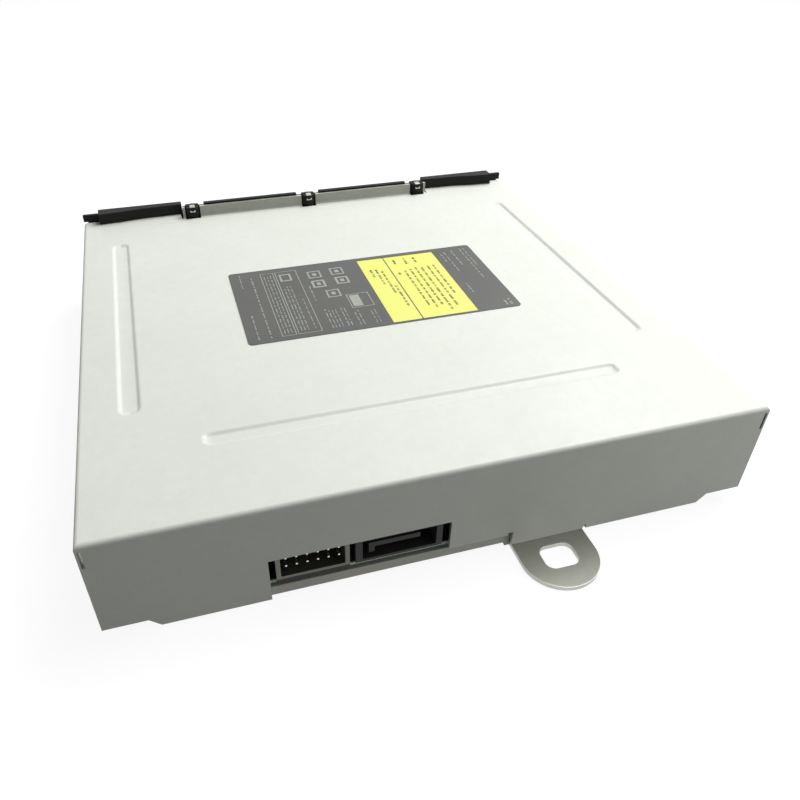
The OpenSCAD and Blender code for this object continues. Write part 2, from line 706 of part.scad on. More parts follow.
module clamp_screws() color("dimgray") boss_places() difference() {
    union() {
        translate([0, 0, plate_top + face]) cylinder(d = 3, h = 1);
        translate([0, 0, frame_top - 4]) cylinder(d = 1.6, h = plate_top - frame_top + 5);
    }
    for (a = [0, 90]) translate([0, 0, plate_top + 1.1]) rotate(a) cube([1.8, 0.5, 0.8], center = true);
}

module clamper() color("#26272b") translate([0, spindle_y, 0]) difference() {
    union() {
        translate([0, 0, plate_top + 0.1]) cylinder(r = clamp_hole_r + 3, h = 1);
        translate([0, 0, clamper_low]) cylinder(r = clamp_hole_r - 1.5, h = plate_top - clamper_low + 0.5);
    }
    translate([0, 0, clamper_low - 1]) cylinder(d = 17, h = 2.4);
    translate([0, 0, plate_top]) cylinder(d = 16.2, h = 3);
}

// Steel disc that the turntable's magnet pulls
module clamper_cap() color("silver") translate([0, spindle_y, plate_top + 0.02]) difference() {
    cylinder(d = 16, h = 1.2);
    translate([0, 0, -1]) cylinder(d = 5, h = 4);
}

// Lever that the disc's edge pushes back; it hangs below the clamp plate on its own rivet
module trigger_lever() color("ivory") translate([lever_x, lever_y, plate_z - 0.15]) {
    translate([0, 0, -lever_t]) cylinder(d = 6, h = lever_t);
    rotate(lever_idle) {
        translate([0, -1.8, -lever_t]) cube([lever_l, 3.6, lever_t]);
        translate([lever_l, 0, -lever_t - 3.6]) cylinder(d = 2.4, h = lever_t + 3.6);
    }
    translate([0, 0, -eps]) cylinder(d = rivet_d, h = plate_t + 0.3);
    translate([0, 0, plate_t + 0.25]) cylinder(d = 3, h = 0.6);
}

module loading_motor() color("silver") difference() {
    union() {
        rod_x(roller_x0, roller_x0 + motor_l, motor_y, motor_z, motor_d);
        rod_x(roller_x0 - 0.9, roller_x0 + eps, motor_y, motor_z, 3.4);
    }
    rod_x(roller_x0 - 2, roller_x0 + motor_l - 2, motor_y, motor_z, 1.5 + 2 * run_gap);
}

module motor_shaft() color("gray") rod_x(outer_x, roller_x0 + motor_l - 3, motor_y, motor_z, 1.5);

module motor_pinion() color("goldenrod") difference() {
    gear_x(outer_x, outer_x + layer, motor_y, motor_z, z_pinion, phase_pinion);
    rod_x(outer_x - 1, inner_x, motor_y, motor_z, 1.52);
}

module gear_first() color("white") difference() {
    union() {
        gear_x(outer_x, outer_x + layer, first_y, first_z, z_first, phase_first);
        gear_x(outer_x + layer - eps, inner_x + layer, first_y, first_z, z_first_small, phase_small);
    }
    rod_x(outer_x - 1, rail_x, first_y, first_z, 2 * pin_hole);
}

module gear_second() color("ivory") {
    gear_x(inner_x, inner_x + layer, second_y, second_z, z_second, phase_second);
    rod_x(inner_x, slider_x + slider_t, second_y, second_z, 3);
    gear_x(slider_x, slider_x + slider_t, second_y, second_z, z_first_small, 0);
}

// Slider in its idle place; it moves forward to lift the traverse
module cam_slider() color("whitesmoke") {
    back = corner_y - 11 - slider_travel;
    front_end = second_y - tip_r(z_first_small) - 0.4;
    rack_z = second_z - tip_r(z_first_small) - face;
    block(slider_x, slider_x + slider_t, back, front_end, slider_z, rack_z - 1);
    along_x(slider_x, slider_x + slider_t) for (i = [0:8])
        translate([front_end - 1 - i * PI * gear_module, rack_z - 1 - eps])
            polygon([[-0.45, 0], [-0.2, 0.9], [0.2, 0.9], [0.45, 0]]);
    block(slider_x, cam_x + eps, back, back + 6, slider_z, slider_z + 1.4);
    cam_low = base_t + 0.4;
    difference() {
        block(cam_x, cam_x + cam_t, back, back + 29, cam_low, 10.8);
        along_x(cam_x - 1, cam_x + cam_t + 1) translate([corner_y - slider_travel, 0]) cam_slot();
    }
}

// Slot that carries the traverse's lift pin: high dwell, slope, low dwell, on the slider's own Y
module cam_slot() {
    w = lift_pin_d / 2 + 0.35;
    low = lift_pin_z - pin_drop;
    a = atan2(-pin_drop, slider_travel);
    l = sqrt(pow(pin_drop, 2) + pow(slider_travel, 2));
    translate([-3, lift_pin_z - w]) square([3, 2 * w]);
    translate([0, lift_pin_z]) rotate(a) translate([0, -w]) square([l, 2 * w]);
    translate([slider_travel, low - w]) square([2.4, 2 * w]);
    for (p = [[-3, lift_pin_z], [0, lift_pin_z], [slider_travel, low], [slider_travel + 2.4, low]])
        translate(p) circle(w);
}

module bracket_arm() along_x(0, arm_t) difference() {
    reach = sqrt(pow(roller_z - pivot_z, 2) + pow(roller_y - pivot_y, 2));
    union() {
        translate([pivot_y, pivot_z]) circle(1.5);
        translate([roller_y, roller_z]) circle(2.6);
        translate([pivot_y, pivot_z]) rotate(atan2(roller_z - pivot_z, roller_y - pivot_y))
            translate([0, -1.4]) square([reach, 3.6]);
    }
    translate([roller_y, roller_z]) circle(d = roller_shaft_d + 2 * run_gap);
}

module roller_bracket() color("silver") {
    translate([arm_x, 0, 0]) bracket_arm();
    translate([-arm_x - arm_t, 0, 0]) bracket_arm();
    // Channel between the arms
    block(arm_x + eps, -arm_x - eps, pivot_y + 3.2, pivot_y + 4.2, pivot_z, pivot_z + 3.4);
    // Pivot pins
    rod_x(arm_x, arm_x + arm_t + 0.25 + lug_t, pivot_y, pivot_z, pivot_d);
    rod_x(-arm_x - arm_t - 0.25 - lug_t, -arm_x, pivot_y, pivot_z, pivot_d);
}

module roller_shaft() color("gray") rod_x(inner_x + 0.1, -arm_x + 1.2, roller_y, roller_z, roller_shaft_d);

module roller_gear() color("white") difference() {
    gear_x(inner_x, inner_x + layer, roller_y, roller_z, z_roller, phase_roller);
    rod_x(inner_x - 1, rail_x, roller_y, roller_z, roller_shaft_d + 0.02);
}

module roller_sleeve() difference() {
    translate([roller_x0, roller_y, roller_z]) rotate([0, 90, 0])
        cylinder(r1 = roller_r, r2 = roller_inner_r, h = -roller_x0 - roller_split);
    rod_x(roller_x0 - 1, 0, roller_y, roller_z, roller_shaft_d + 0.02);
}

module roller_left() color("#303034") roller_sleeve();
module roller_right() color("#303034") mirror([1, 0, 0]) roller_sleeve();

// Traverse pieces, drawn level
module traverse_frame() color("#3a3c40") on_traverse() difference() {
    union() {
        block(frame_in, frame_out, -frame_half, frame_half, frame_z, frame_z + frame_t);
        // Rod seats
        for (s = [-1, 1], x = [bay_in - seat_l, bay_out])
            block(x, x + seat_l, s * rod_y - 2.2, s * rod_y + 2.2, frame_z, rod_z + 1.8);
        // Lead screw bearing
        block(bay_out, bay_out + seat_l, screw_y - 1.9, screw_y + 1.9, frame_z, screw_z + 1.9);
        // Pivot pins
        for (s = [-1, 1]) translate([pivot_out, s > 0 ? frame_half - 1 : -frame_half + 1, axle_z])
            rotate([s > 0 ? -90 : 90, 0, 0]) cylinder(d = 2.4, h = 4.4);
        // Corner boss with the lift pin, which points along the body's X
        translate([frame_in, -frame_half, frame_z]) rotate(-travel_turn) {
            translate([1, -1.8, 0]) cube([5, 4.6, lift_pin_z - frame_z + 1.4]);
            rod_x(-pin_reach, 1.5, 0, lift_pin_z - frame_z, lift_pin_d);
        }
    }
    block(bay_in, bay_out, -11.2, 11.2, 0, 20);
    cylinder(r = 8, h = 20);
    for (s = [-1, 1]) rod_x(bay_in - 2.4, bay_out + 2.4, s * rod_y, rod_z, rod_d + 0.04);
    rod_x(bay_out - 1, bay_out + 2.4, screw_y, screw_z, screw_d + 2 * run_gap);
    translate([-13, screw_y - 3, screw_z - 2.9]) cube([10.6, 10, 20]);
}

module pivot_dampers() color("#4a3a3a") translate([0, spindle_y, 0]) rotate([0, 0, travel_turn])
    for (s = [-1, 1]) translate([pivot_out, s * lug_y, axle_z]) rotate([90, 0, 0]) difference() {
        union() {
            cylinder(d = 5.4, h = 1.6, center = true);
            for (e = [-1, 1]) translate([0, 0, e * 0.75]) cylinder(d = 6.6, h = 0.35, center = true);
        }
        cylinder(d = 2.4 + 2 * run_gap, h = 4, center = true);
    }

module spindle_stator() color("#7a6a50") on_traverse() difference() {
    union() {
        translate([0, 0, frame_z + frame_t + face]) cylinder(r = rotor_r + 0.4, h = 0.8);
        translate([0, 0, frame_z - 0.2]) cylinder(r = 7.8, h = frame_t + 0.6);
        translate([0, 0, frame_z]) cylinder(d = 6, h = 6);
    }
    translate([0, 0, frame_z + 0.6]) cylinder(d = 2 + 2 * run_gap, h = 10);
}

module spindle_rotor() color("silver") on_traverse() {
    z0 = frame_z + frame_t + 1.3;
    difference() {
        translate([0, 0, z0]) cylinder(r = rotor_r, h = 3.6);
        translate([0, 0, z0 - 1]) cylinder(r = rotor_r - 0.9, h = 3.9);
    }
    translate([0, 0, frame_z + 0.8]) cylinder(d = 2, h = play_z - frame_z - 1);
}

module turntable() color("#18181a") on_traverse() difference() {
    union() {
        translate([0, 0, play_z - 2]) cylinder(d = turntable_d, h = 1.6);
        translate([0, 0, play_z - 2]) cylinder(d = 14.7, h = 2.8);
        translate([0, 0, play_z + 0.8]) cylinder(d1 = 14.7, d2 = 11, h = 1.2);
    }
    translate([0, 0, play_z - 3]) cylinder(d = 2.02, h = 2.9);
}

module turntable_pad() color("#505055") on_traverse() translate([0, 0, play_z - 0.38]) difference() {
    cylinder(d = turntable_d, h = 0.38);
    translate([0, 0, -1]) cylinder(d = 18, h = 3);
}

module guide_rods() color("lightgray") on_traverse() for (s = [-1, 1])
    rod_x(bay_in - 2.3, bay_out + 2.3, s * rod_y, rod_z, rod_d);

// Sled with a bore on one rod and an open hook on the other
module pickup_sled() color("#55585c") on_traverse() difference() {
    sled_out = sled_in + sled_l;
    bore = rod_d + 2 * run_gap;
    union() {
        block(sled_in, sled_out, -10.4, 10.4, frame_z - 0.8, 12);
        block(sled_in, sled_out, -rod_y - 2.3, rod_y + 2.3, frame_z + frame_t + 0.3, 11.4);
        block(sled_in + 3, sled_in + 9, rod_y, screw_y - screw_d / 2 - 0.2, screw_z - 1.2, screw_z + 1.2);
    }
    for (s = [-1, 1]) rod_x(sled_in - 1, sled_out + 1, s * rod_y, rod_z, bore);
    block(sled_in - 1, sled_out + 1, -rod_y - 4, -rod_y, rod_z - bore / 2, rod_z + bore / 2);
    // Room of the lens holder
    block(lens_inner - 4.4, lens_inner + 3.2, -7, 7, 9.4, 20);
    translate([lens_inner, 0, frame_z - 2]) cylinder(d = 4, h = 20);
}

module lens_holder() color("#101014") on_traverse() difference() {
    union() {
        block(lens_inner - 4, lens_inner + 2.8, -6.4, 6.4, 10, 12.4);
        translate([lens_inner, 0, 12]) cylinder(d = 5.4, h = 1.1);
    }
    translate([lens_inner, 0, 8]) cylinder(d = 4, h = 4);
    translate([lens_inner, 0, 8]) cylinder(d = 3.2, h = 8);
}

module objective_lens() color("lightcyan") on_traverse() translate([lens_inner, 0, 12.02]) intersection() {
    cylinder(d = 3.18, h = 2);
    translate([0, 0, -3.2]) sphere(4.6);
}

module lead_screw() color("gray") on_traverse() rod_x(-3.4, bay_out + 2.2, screw_y, screw_z, screw_d);

sled_motor_x = -12.6;
sled_motor_l = 9.6;

module sled_motor() color("silver") on_traverse() difference() {
    face_x = sled_motor_x + sled_motor_l;
    union() {
        rod_x(sled_motor_x, face_x, screw_y, screw_z, 5.6);
        rod_x(face_x - eps, face_x + 0.6, screw_y, screw_z, 3.6);
    }
    rod_x(face_x - 0.6, face_x + 2.4, screw_y, screw_z, screw_d + 2 * run_gap);
}

top_cover();
bottom_chassis();
chassis_screws();
rating_label();
label_field();
label_marks();
front_bezel();
slot_felt();
main_board();
power_header();
header_pins();
sata_socket();
sata_contacts();
board_chips();
flex_socket();
loader_frame();
clamp_plate();
clamp_screws();
clamper();
clamper_cap();
trigger_lever();
loading_motor();
motor_shaft();
motor_pinion();
gear_first();
gear_second();
cam_slider();
roller_bracket();
roller_shaft();
roller_gear();
roller_left();
roller_right();
traverse_frame();
pivot_dampers();
spindle_stator();
spindle_rotor();
turntable();
turntable_pad();
guide_rods();
pickup_sled();
lens_holder();
objective_lens();
lead_screw();
sled_motor();
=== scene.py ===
"""Slot-loading optical disc drive: its finishes, modelled pieces, camera and studio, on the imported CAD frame.

Lengths in the classes are millimetres in the frame's own axes: X along the connector wall, Y from that wall to
the disc slot, Z up from the plane that the pressed underside rests on.
"""
import json
import logging
import math
import random
from dataclasses import dataclass, field
from enum import Enum
from typing import Callable, Iterable, Sequence

import bmesh
import bpy
from mathutils import Matrix, Vector, noise


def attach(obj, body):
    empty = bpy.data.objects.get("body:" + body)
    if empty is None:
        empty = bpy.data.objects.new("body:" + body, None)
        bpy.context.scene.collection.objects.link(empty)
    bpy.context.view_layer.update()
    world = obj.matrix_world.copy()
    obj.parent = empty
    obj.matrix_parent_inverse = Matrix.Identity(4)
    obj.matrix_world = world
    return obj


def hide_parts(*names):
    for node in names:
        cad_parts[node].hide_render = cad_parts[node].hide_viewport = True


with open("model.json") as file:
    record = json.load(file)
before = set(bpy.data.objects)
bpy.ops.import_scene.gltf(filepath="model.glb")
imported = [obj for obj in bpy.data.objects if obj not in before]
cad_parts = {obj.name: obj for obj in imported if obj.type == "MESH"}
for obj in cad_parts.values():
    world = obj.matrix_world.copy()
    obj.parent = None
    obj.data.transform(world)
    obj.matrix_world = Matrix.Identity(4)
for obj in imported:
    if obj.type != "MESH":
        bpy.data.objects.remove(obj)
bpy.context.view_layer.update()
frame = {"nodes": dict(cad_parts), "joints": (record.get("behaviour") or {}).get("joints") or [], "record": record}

MM = 0.001
LOG = logging.getLogger("disc_drive")

Colour = tuple[float, float, float, float]
Spread = tuple[float, float]


def paint(red: int, green: int, blue: int) -> Colour:
    """A colour given by its 8-bit display values, as the linear values that Blender works in.

    Args:
        red: Display value from 0 to 255.
        green: Display value from 0 to 255.
        blue: Display value from 0 to 255.

    Returns:
        The linear colour, with an alpha of 1.
    """
    def linear(value: int) -> float:
        """One channel made linear."""
        share = value / 255
        return share / 12.92 if share <= 0.04045 else ((share + 0.055) / 1.055) ** 2.4

    return linear(red), linear(green), linear(blue), 1.0


def smooth_step(share: float) -> float:
    """A share from 0 to 1, eased at both ends."""
    held = min(max(share, 0.0), 1.0)
    return held * held * (3 - 2 * held)


# Shared effects


class Effect(Enum):
    """The effects that several finishes share, each a node group."""

    MOTTLE = "mottle"
    BRUSHED = "brushed"
    SPANGLE = "spangle"
    SCUFFS = "scuffs"


class EffectGroups:
    """Builds each shared effect once and hands it to every finish that uses it."""

    def __init__(self) -> None:
        """Starts with no group built."""
        self.built: dict[Effect, bpy.types.NodeTree] = {}
        self.makers: dict[Effect, Callable[[bpy.types.NodeTree], None]] = {
            Effect.MOTTLE: self.mottle,
            Effect.BRUSHED: self.brushed,
            Effect.SPANGLE: self.spangle,
            Effect.SCUFFS: self.scuffs,
        }

    def group(self, effect: Effect) -> bpy.types.NodeTree:
        """The node group of an effect.

        Args:
            effect: The effect wanted.

        Returns:
            Its node tree, built on first use.
        """
        if effect in self.built:
            return self.built[effect]
        tree = bpy.data.node_groups.new(effect.value, "ShaderNodeTree")
        self.built[effect] = tree
        tree.interface.new_socket("Vector", in_out="INPUT", socket_type="NodeSocketVector")
        tree.interface.new_socket("Scale", in_out="INPUT", socket_type="NodeSocketFloat")
        tree.interface.new_socket("Mask", in_out="OUTPUT", socket_type="NodeSocketFloat")
        self.makers[effect](tree)
        return tree

    @staticmethod
    def ends(tree: bpy.types.NodeTree) -> tuple[bpy.types.Node, bpy.types.Node]:
        """The input and output nodes of a new group."""
        return tree.nodes.new("NodeGroupInput"), tree.nodes.new("NodeGroupOutput")

    @staticmethod
    def remap(tree: bpy.types.NodeTree, value: bpy.types.NodeSocket, low: float, high: float) -> bpy.types.NodeSocket:
        """A value stretched so that low becomes 0 and high becomes 1.

        Args:
            tree: The group being built.
            value: The socket that is stretched.
            low: The value that becomes 0.
            high: The value that becomes 1.

        Returns:
            The socket with the stretched value.
        """
        node = tree.nodes.new("ShaderNodeMapRange")
        node.inputs["From Min"].default_value = low
        node.inputs["From Max"].default_value = high
        tree.links.new(value, node.inputs["Value"])
        return node.outputs["Result"]

    def mottle(self, tree: bpy.types.NodeTree) -> None:
        """Soft cloudy variation, as paint or moulded plastic has."""
        given, result = self.ends(tree)
        cloud = tree.nodes.new("ShaderNodeTexNoise")
        cloud.inputs["Detail"].default_value = 3.0
        cloud.inputs["Roughness"].default_value = 0.55
        tree.links.new(given.outputs["Vector"], cloud.inputs["Vector"])
        tree.links.new(given.outputs["Scale"], cloud.inputs["Scale"])
        tree.links.new(self.remap(tree, cloud.outputs["Fac"], 0.3, 0.7), result.inputs["Mask"])

    def brushed(self, tree: bpy.types.NodeTree) -> None:
        """Fine lines along Y, as a rolling mill leaves in sheet steel."""
        given, result = self.ends(tree)
        stretch = tree.nodes.new("ShaderNodeMapping")
        stretch.inputs["Scale"].default_value = (1.0, 0.035, 1.0)
        lines = tree.nodes.new("ShaderNodeTexNoise")
        lines.inputs["Detail"].default_value = 4.0
        lines.inputs["Roughness"].default_value = 0.7
        tree.links.new(given.outputs["Vector"], stretch.inputs["Vector"])
        tree.links.new(stretch.outputs["Vector"], lines.inputs["Vector"])
        tree.links.new(given.outputs["Scale"], lines.inputs["Scale"])
        tree.links.new(self.remap(tree, lines.outputs["Fac"], 0.25, 0.75), result.inputs["Mask"])

    def spangle(self, tree: bpy.types.NodeTree) -> None:
        """Zinc crystals: cells of slightly different brightness."""
        given, result = self.ends(tree)
        cells = tree.nodes.new("ShaderNodeTexVoronoi")
        cells.inputs["Randomness"].default_value = 1.0
        tree.links.new(given.outputs["Vector"], cells.inputs["Vector"])
        tree.links.new(given.outputs["Scale"], cells.inputs["Scale"])
        grey = tree.nodes.new("ShaderNodeRGBToBW")
        tree.links.new(cells.outputs["Color"], grey.inputs["Color"])
        tree.links.new(self.remap(tree, grey.outputs["Val"], 0.2, 0.8), result.inputs["Mask"])

    def scuffs(self, tree: bpy.types.NodeTree) -> None:
        """Sparse thin scratches that handling leaves."""
        given, result = self.ends(tree)
        turn = tree.nodes.new("ShaderNodeMapping")
        turn.inputs["Rotation"].default_value = (0.3, 0.2, 0.7)
        turn.inputs["Scale"].default_value = (1.0, 0.06, 1.0)
        lines = tree.nodes.new("ShaderNodeTexVoronoi")
        lines.feature = "DISTANCE_TO_EDGE"
        tree.links.new(given.outputs["Vector"], turn.inputs["Vector"])
        tree.links.new(turn.outputs["Vector"], lines.inputs["Vector"])
        tree.links.new(given.outputs["Scale"], lines.inputs["Scale"])
        thin = self.remap(tree, lines.outputs["Distance"], 0.012, 0.0)
        patch = tree.nodes.new("ShaderNodeTexNoise")
        patch.inputs["Scale"].default_value = 38.0
        tree.links.new(given.outputs["Vector"], patch.inputs["Vector"])
        some = self.remap(tree, patch.outputs["Fac"], 0.55, 0.7)
        both = tree.nodes.new("ShaderNodeMath")
        both.operation = "MULTIPLY"
        tree.links.new(thin, both.inputs[0])
        tree.links.new(some, both.inputs[1])
        tree.links.new(both.outputs["Value"], result.inputs["Mask"])


EFFECTS = EffectGroups()


# Finishes


MADE: dict[str, bpy.types.Material] = {}


@dataclass(frozen=True)
class Layer:
    """One effect in a finish: how large it is and what it does to the surface.

    Attributes:
        effect: The shared effect.
        size: Rough size of its features in millimetres.
        tone: Colour where the mask is 1, or None where it leaves the colour.
        share: How much of that tone shows.
        rough: Change of roughness where the mask is 1.
        depth: Depth of the bump in millimetres.
    """

    effect: Effect
    size: float
    tone: Colour | None = None
    share: float = 0.0
    rough: float = 0.0
    depth: float = 0.0


@dataclass(frozen=True)
class Finish:
    """A surface finish: plain values for the shader's sockets, and layers that vary over the surface.

    Attributes:
        name: The material's name.
        colour: Base colour.
        rough: Roughness.
        metal: Metallic share.
        coat: Weight of a clear coat.
        specular: Specular level.
        transmission: Transmission weight, for glass.
        layers: The effects on it, from the broadest to the finest.
    """

    name: str
    colour: Colour
    rough: float
    metal: float = 0.0
    coat: float = 0.0
    specular: float = 0.5
    transmission: float = 0.0
    layers: tuple[Layer, ...] = ()

    def material(self) -> bpy.types.Material:
        """The finish as a material.

        Returns:
            The material, made on first use.
        """
        if self.name in MADE:
            return MADE[self.name]
        made = bpy.data.materials.new("finish_" + self.name)
        MADE[self.name] = made
        made.use_nodes = True
        tree = made.node_tree
        shader = tree.nodes["Principled BSDF"]
        shader.inputs["Base Color"].default_value = self.colour
        shader.inputs["Roughness"].default_value = self.rough
        shader.inputs["Metallic"].default_value = self.metal
        shader.inputs["Coat Weight"].default_value = self.coat
        shader.inputs["Coat Roughness"].default_value = 0.2
        shader.inputs["Specular IOR Level"].default_value = self.specular
        shader.inputs["Transmission Weight"].default_value = self.transmission
        self.add_layers(tree, shader)
        return made

    def add_layers(self, tree: bpy.types.NodeTree, shader: bpy.types.Node) -> None:
        """Adds each layer's colour, roughness and bump to the shader.

        Args:
            tree: The material's nodes.
            shader: Its Principled shader.
        """
        place = tree.nodes.new("ShaderNodeTexCoord")
        colour: bpy.types.NodeSocket | None = None
        rough: bpy.types.NodeSocket | None = None
        normal: bpy.types.NodeSocket | None = None
        for layer in self.layers:
            effect = tree.nodes.new("ShaderNodeGroup")
            effect.node_tree = EFFECTS.group(layer.effect)
            effect.inputs["Scale"].default_value = 1 / (layer.size * MM)
            tree.links.new(place.outputs["Object"], effect.inputs["Vector"])
            mask = effect.outputs["Mask"]
            if layer.tone is not None:
                colour = self.toned(tree, mask, layer, colour)
            if layer.rough:
                rough = self.roughened(tree, mask, layer, rough)
            if layer.depth:
                normal = self.bumped(tree, mask, layer, normal)
        if colour is not None:
            tree.links.new(colour, shader.inputs["Base Color"])
        if rough is not None:
            tree.links.new(rough, shader.inputs["Roughness"])
        if normal is not None:
            tree.links.new(normal, shader.inputs["Normal"])

    def toned(self, tree: bpy.types.NodeTree, mask: bpy.types.NodeSocket, layer: Layer,
              before: bpy.types.NodeSocket | None) -> bpy.types.NodeSocket:
        """The colour so far with a layer's tone mixed in where its mask is high."""
        share = tree.nodes.new("ShaderNodeMath")
        share.operation = "MULTIPLY"
        share.inputs[1].default_value = layer.share
        tree.links.new(mask, share.inputs[0])
        mix = tree.nodes.new("ShaderNodeMixRGB")
        mix.inputs["Color1"].default_value = self.colour
        mix.inputs["Color2"].default_value = layer.tone
        tree.links.new(share.outputs["Value"], mix.inputs["Fac"])
        if before is not None:
            tree.links.new(before, mix.inputs["Color1"])
        return mix.outputs["Color"]

    def roughened(self, tree: bpy.types.NodeTree, mask: bpy.types.NodeSocket, layer: Layer,
                  before: bpy.types.NodeSocket | None) -> bpy.types.NodeSocket:
        """The roughness so far, changed by a layer's amount where its mask is high."""
        change = tree.nodes.new("ShaderNodeMath")
        change.operation = "MULTIPLY_ADD"
        change.use_clamp = True
        change.inputs[1].default_value = layer.rough
        change.inputs[2].default_value = self.rough
        tree.links.new(mask, change.inputs[0])
        if before is not None:
            tree.links.new(before, change.inputs[2])
        return change.outputs["Value"]

    @staticmethod
    def bumped(tree: bpy.types.NodeTree, mask: bpy.types.NodeSocket, layer: Layer,
               before: bpy.types.NodeSocket | None) -> bpy.types.NodeSocket:
        """The normal so far, with a layer's mask as relief."""
        bump = tree.nodes.new("ShaderNodeBump")
        bump.inputs["Strength"].default_value = 1.0
        bump.inputs["Distance"].default_value = layer.depth * MM
        tree.links.new(mask, bump.inputs["Height"])
        if before is not None:
            tree.links.new(before, bump.inputs["Normal"])
        return bump.outputs["Normal"]


def sheet_finish(name: str, colour: Colour, shade: Colour, rough: float, metal: float) -> Finish:
    """A rolled and zinc-coated steel sheet.

    Args:
        name: The finish's name.
        colour: Its colour.
        shade: Its colour in the darker clouds and lines.
        rough: Its roughness.
        metal: Its metallic share.

    Returns:
        The finish.
    """
    return Finish(name, colour, rough, metal, layers=(
        Layer(Effect.MOTTLE, 26.0, shade, 0.35, 0.07),
        Layer(Effect.SPANGLE, 1.6, shade, 0.22, 0.04),
        Layer(Effect.BRUSHED, 0.45, shade, 0.12, 0.05, 0.0006),
        Layer(Effect.SCUFFS, 9.0, shade, 0.3, 0.12, 0.0008),
        Layer(Effect.MOTTLE, 14.0, depth=0.006),
    ))


def moulded_finish(name: str, colour: Colour, lift: Colour, rough: float, coat: float = 0.0,
                   specular: float = 0.35) -> Finish:
    """A moulded plastic with a fine spark-eroded texture.

    Args:
        name: The finish's name.
        colour: Its colour.
        lift: Its colour where it is a little paler.
        rough: Its roughness.
        coat: Weight of its gloss.
        specular: Its specular level.

    Returns:
        The finish.
    """
    return Finish(name, colour, rough, coat=coat, specular=specular, layers=(
        Layer(Effect.MOTTLE, 6.0, lift, 0.3, 0.06),
        Layer(Effect.MOTTLE, 0.12, lift, 0.18, 0.05, 0.006),
        Layer(Effect.SCUFFS, 5.0, lift, 0.35, 0.1),
    ))


def turned_finish(name: str, colour: Colour, shade: Colour, rough: float) -> Finish:
    """Turned or drawn metal.

    Args:
        name: The finish's name.
        colour: Its colour.
        shade: Its darker tone.
        rough: Its roughness.

    Returns:
        The finish.
    """
    return Finish(name, colour, rough, 1.0, layers=(
        Layer(Effect.MOTTLE, 4.0, shade, 0.3, 0.1),
        Layer(Effect.BRUSHED, 0.2, shade, 0.2, 0.08, 0.0008),
    ))


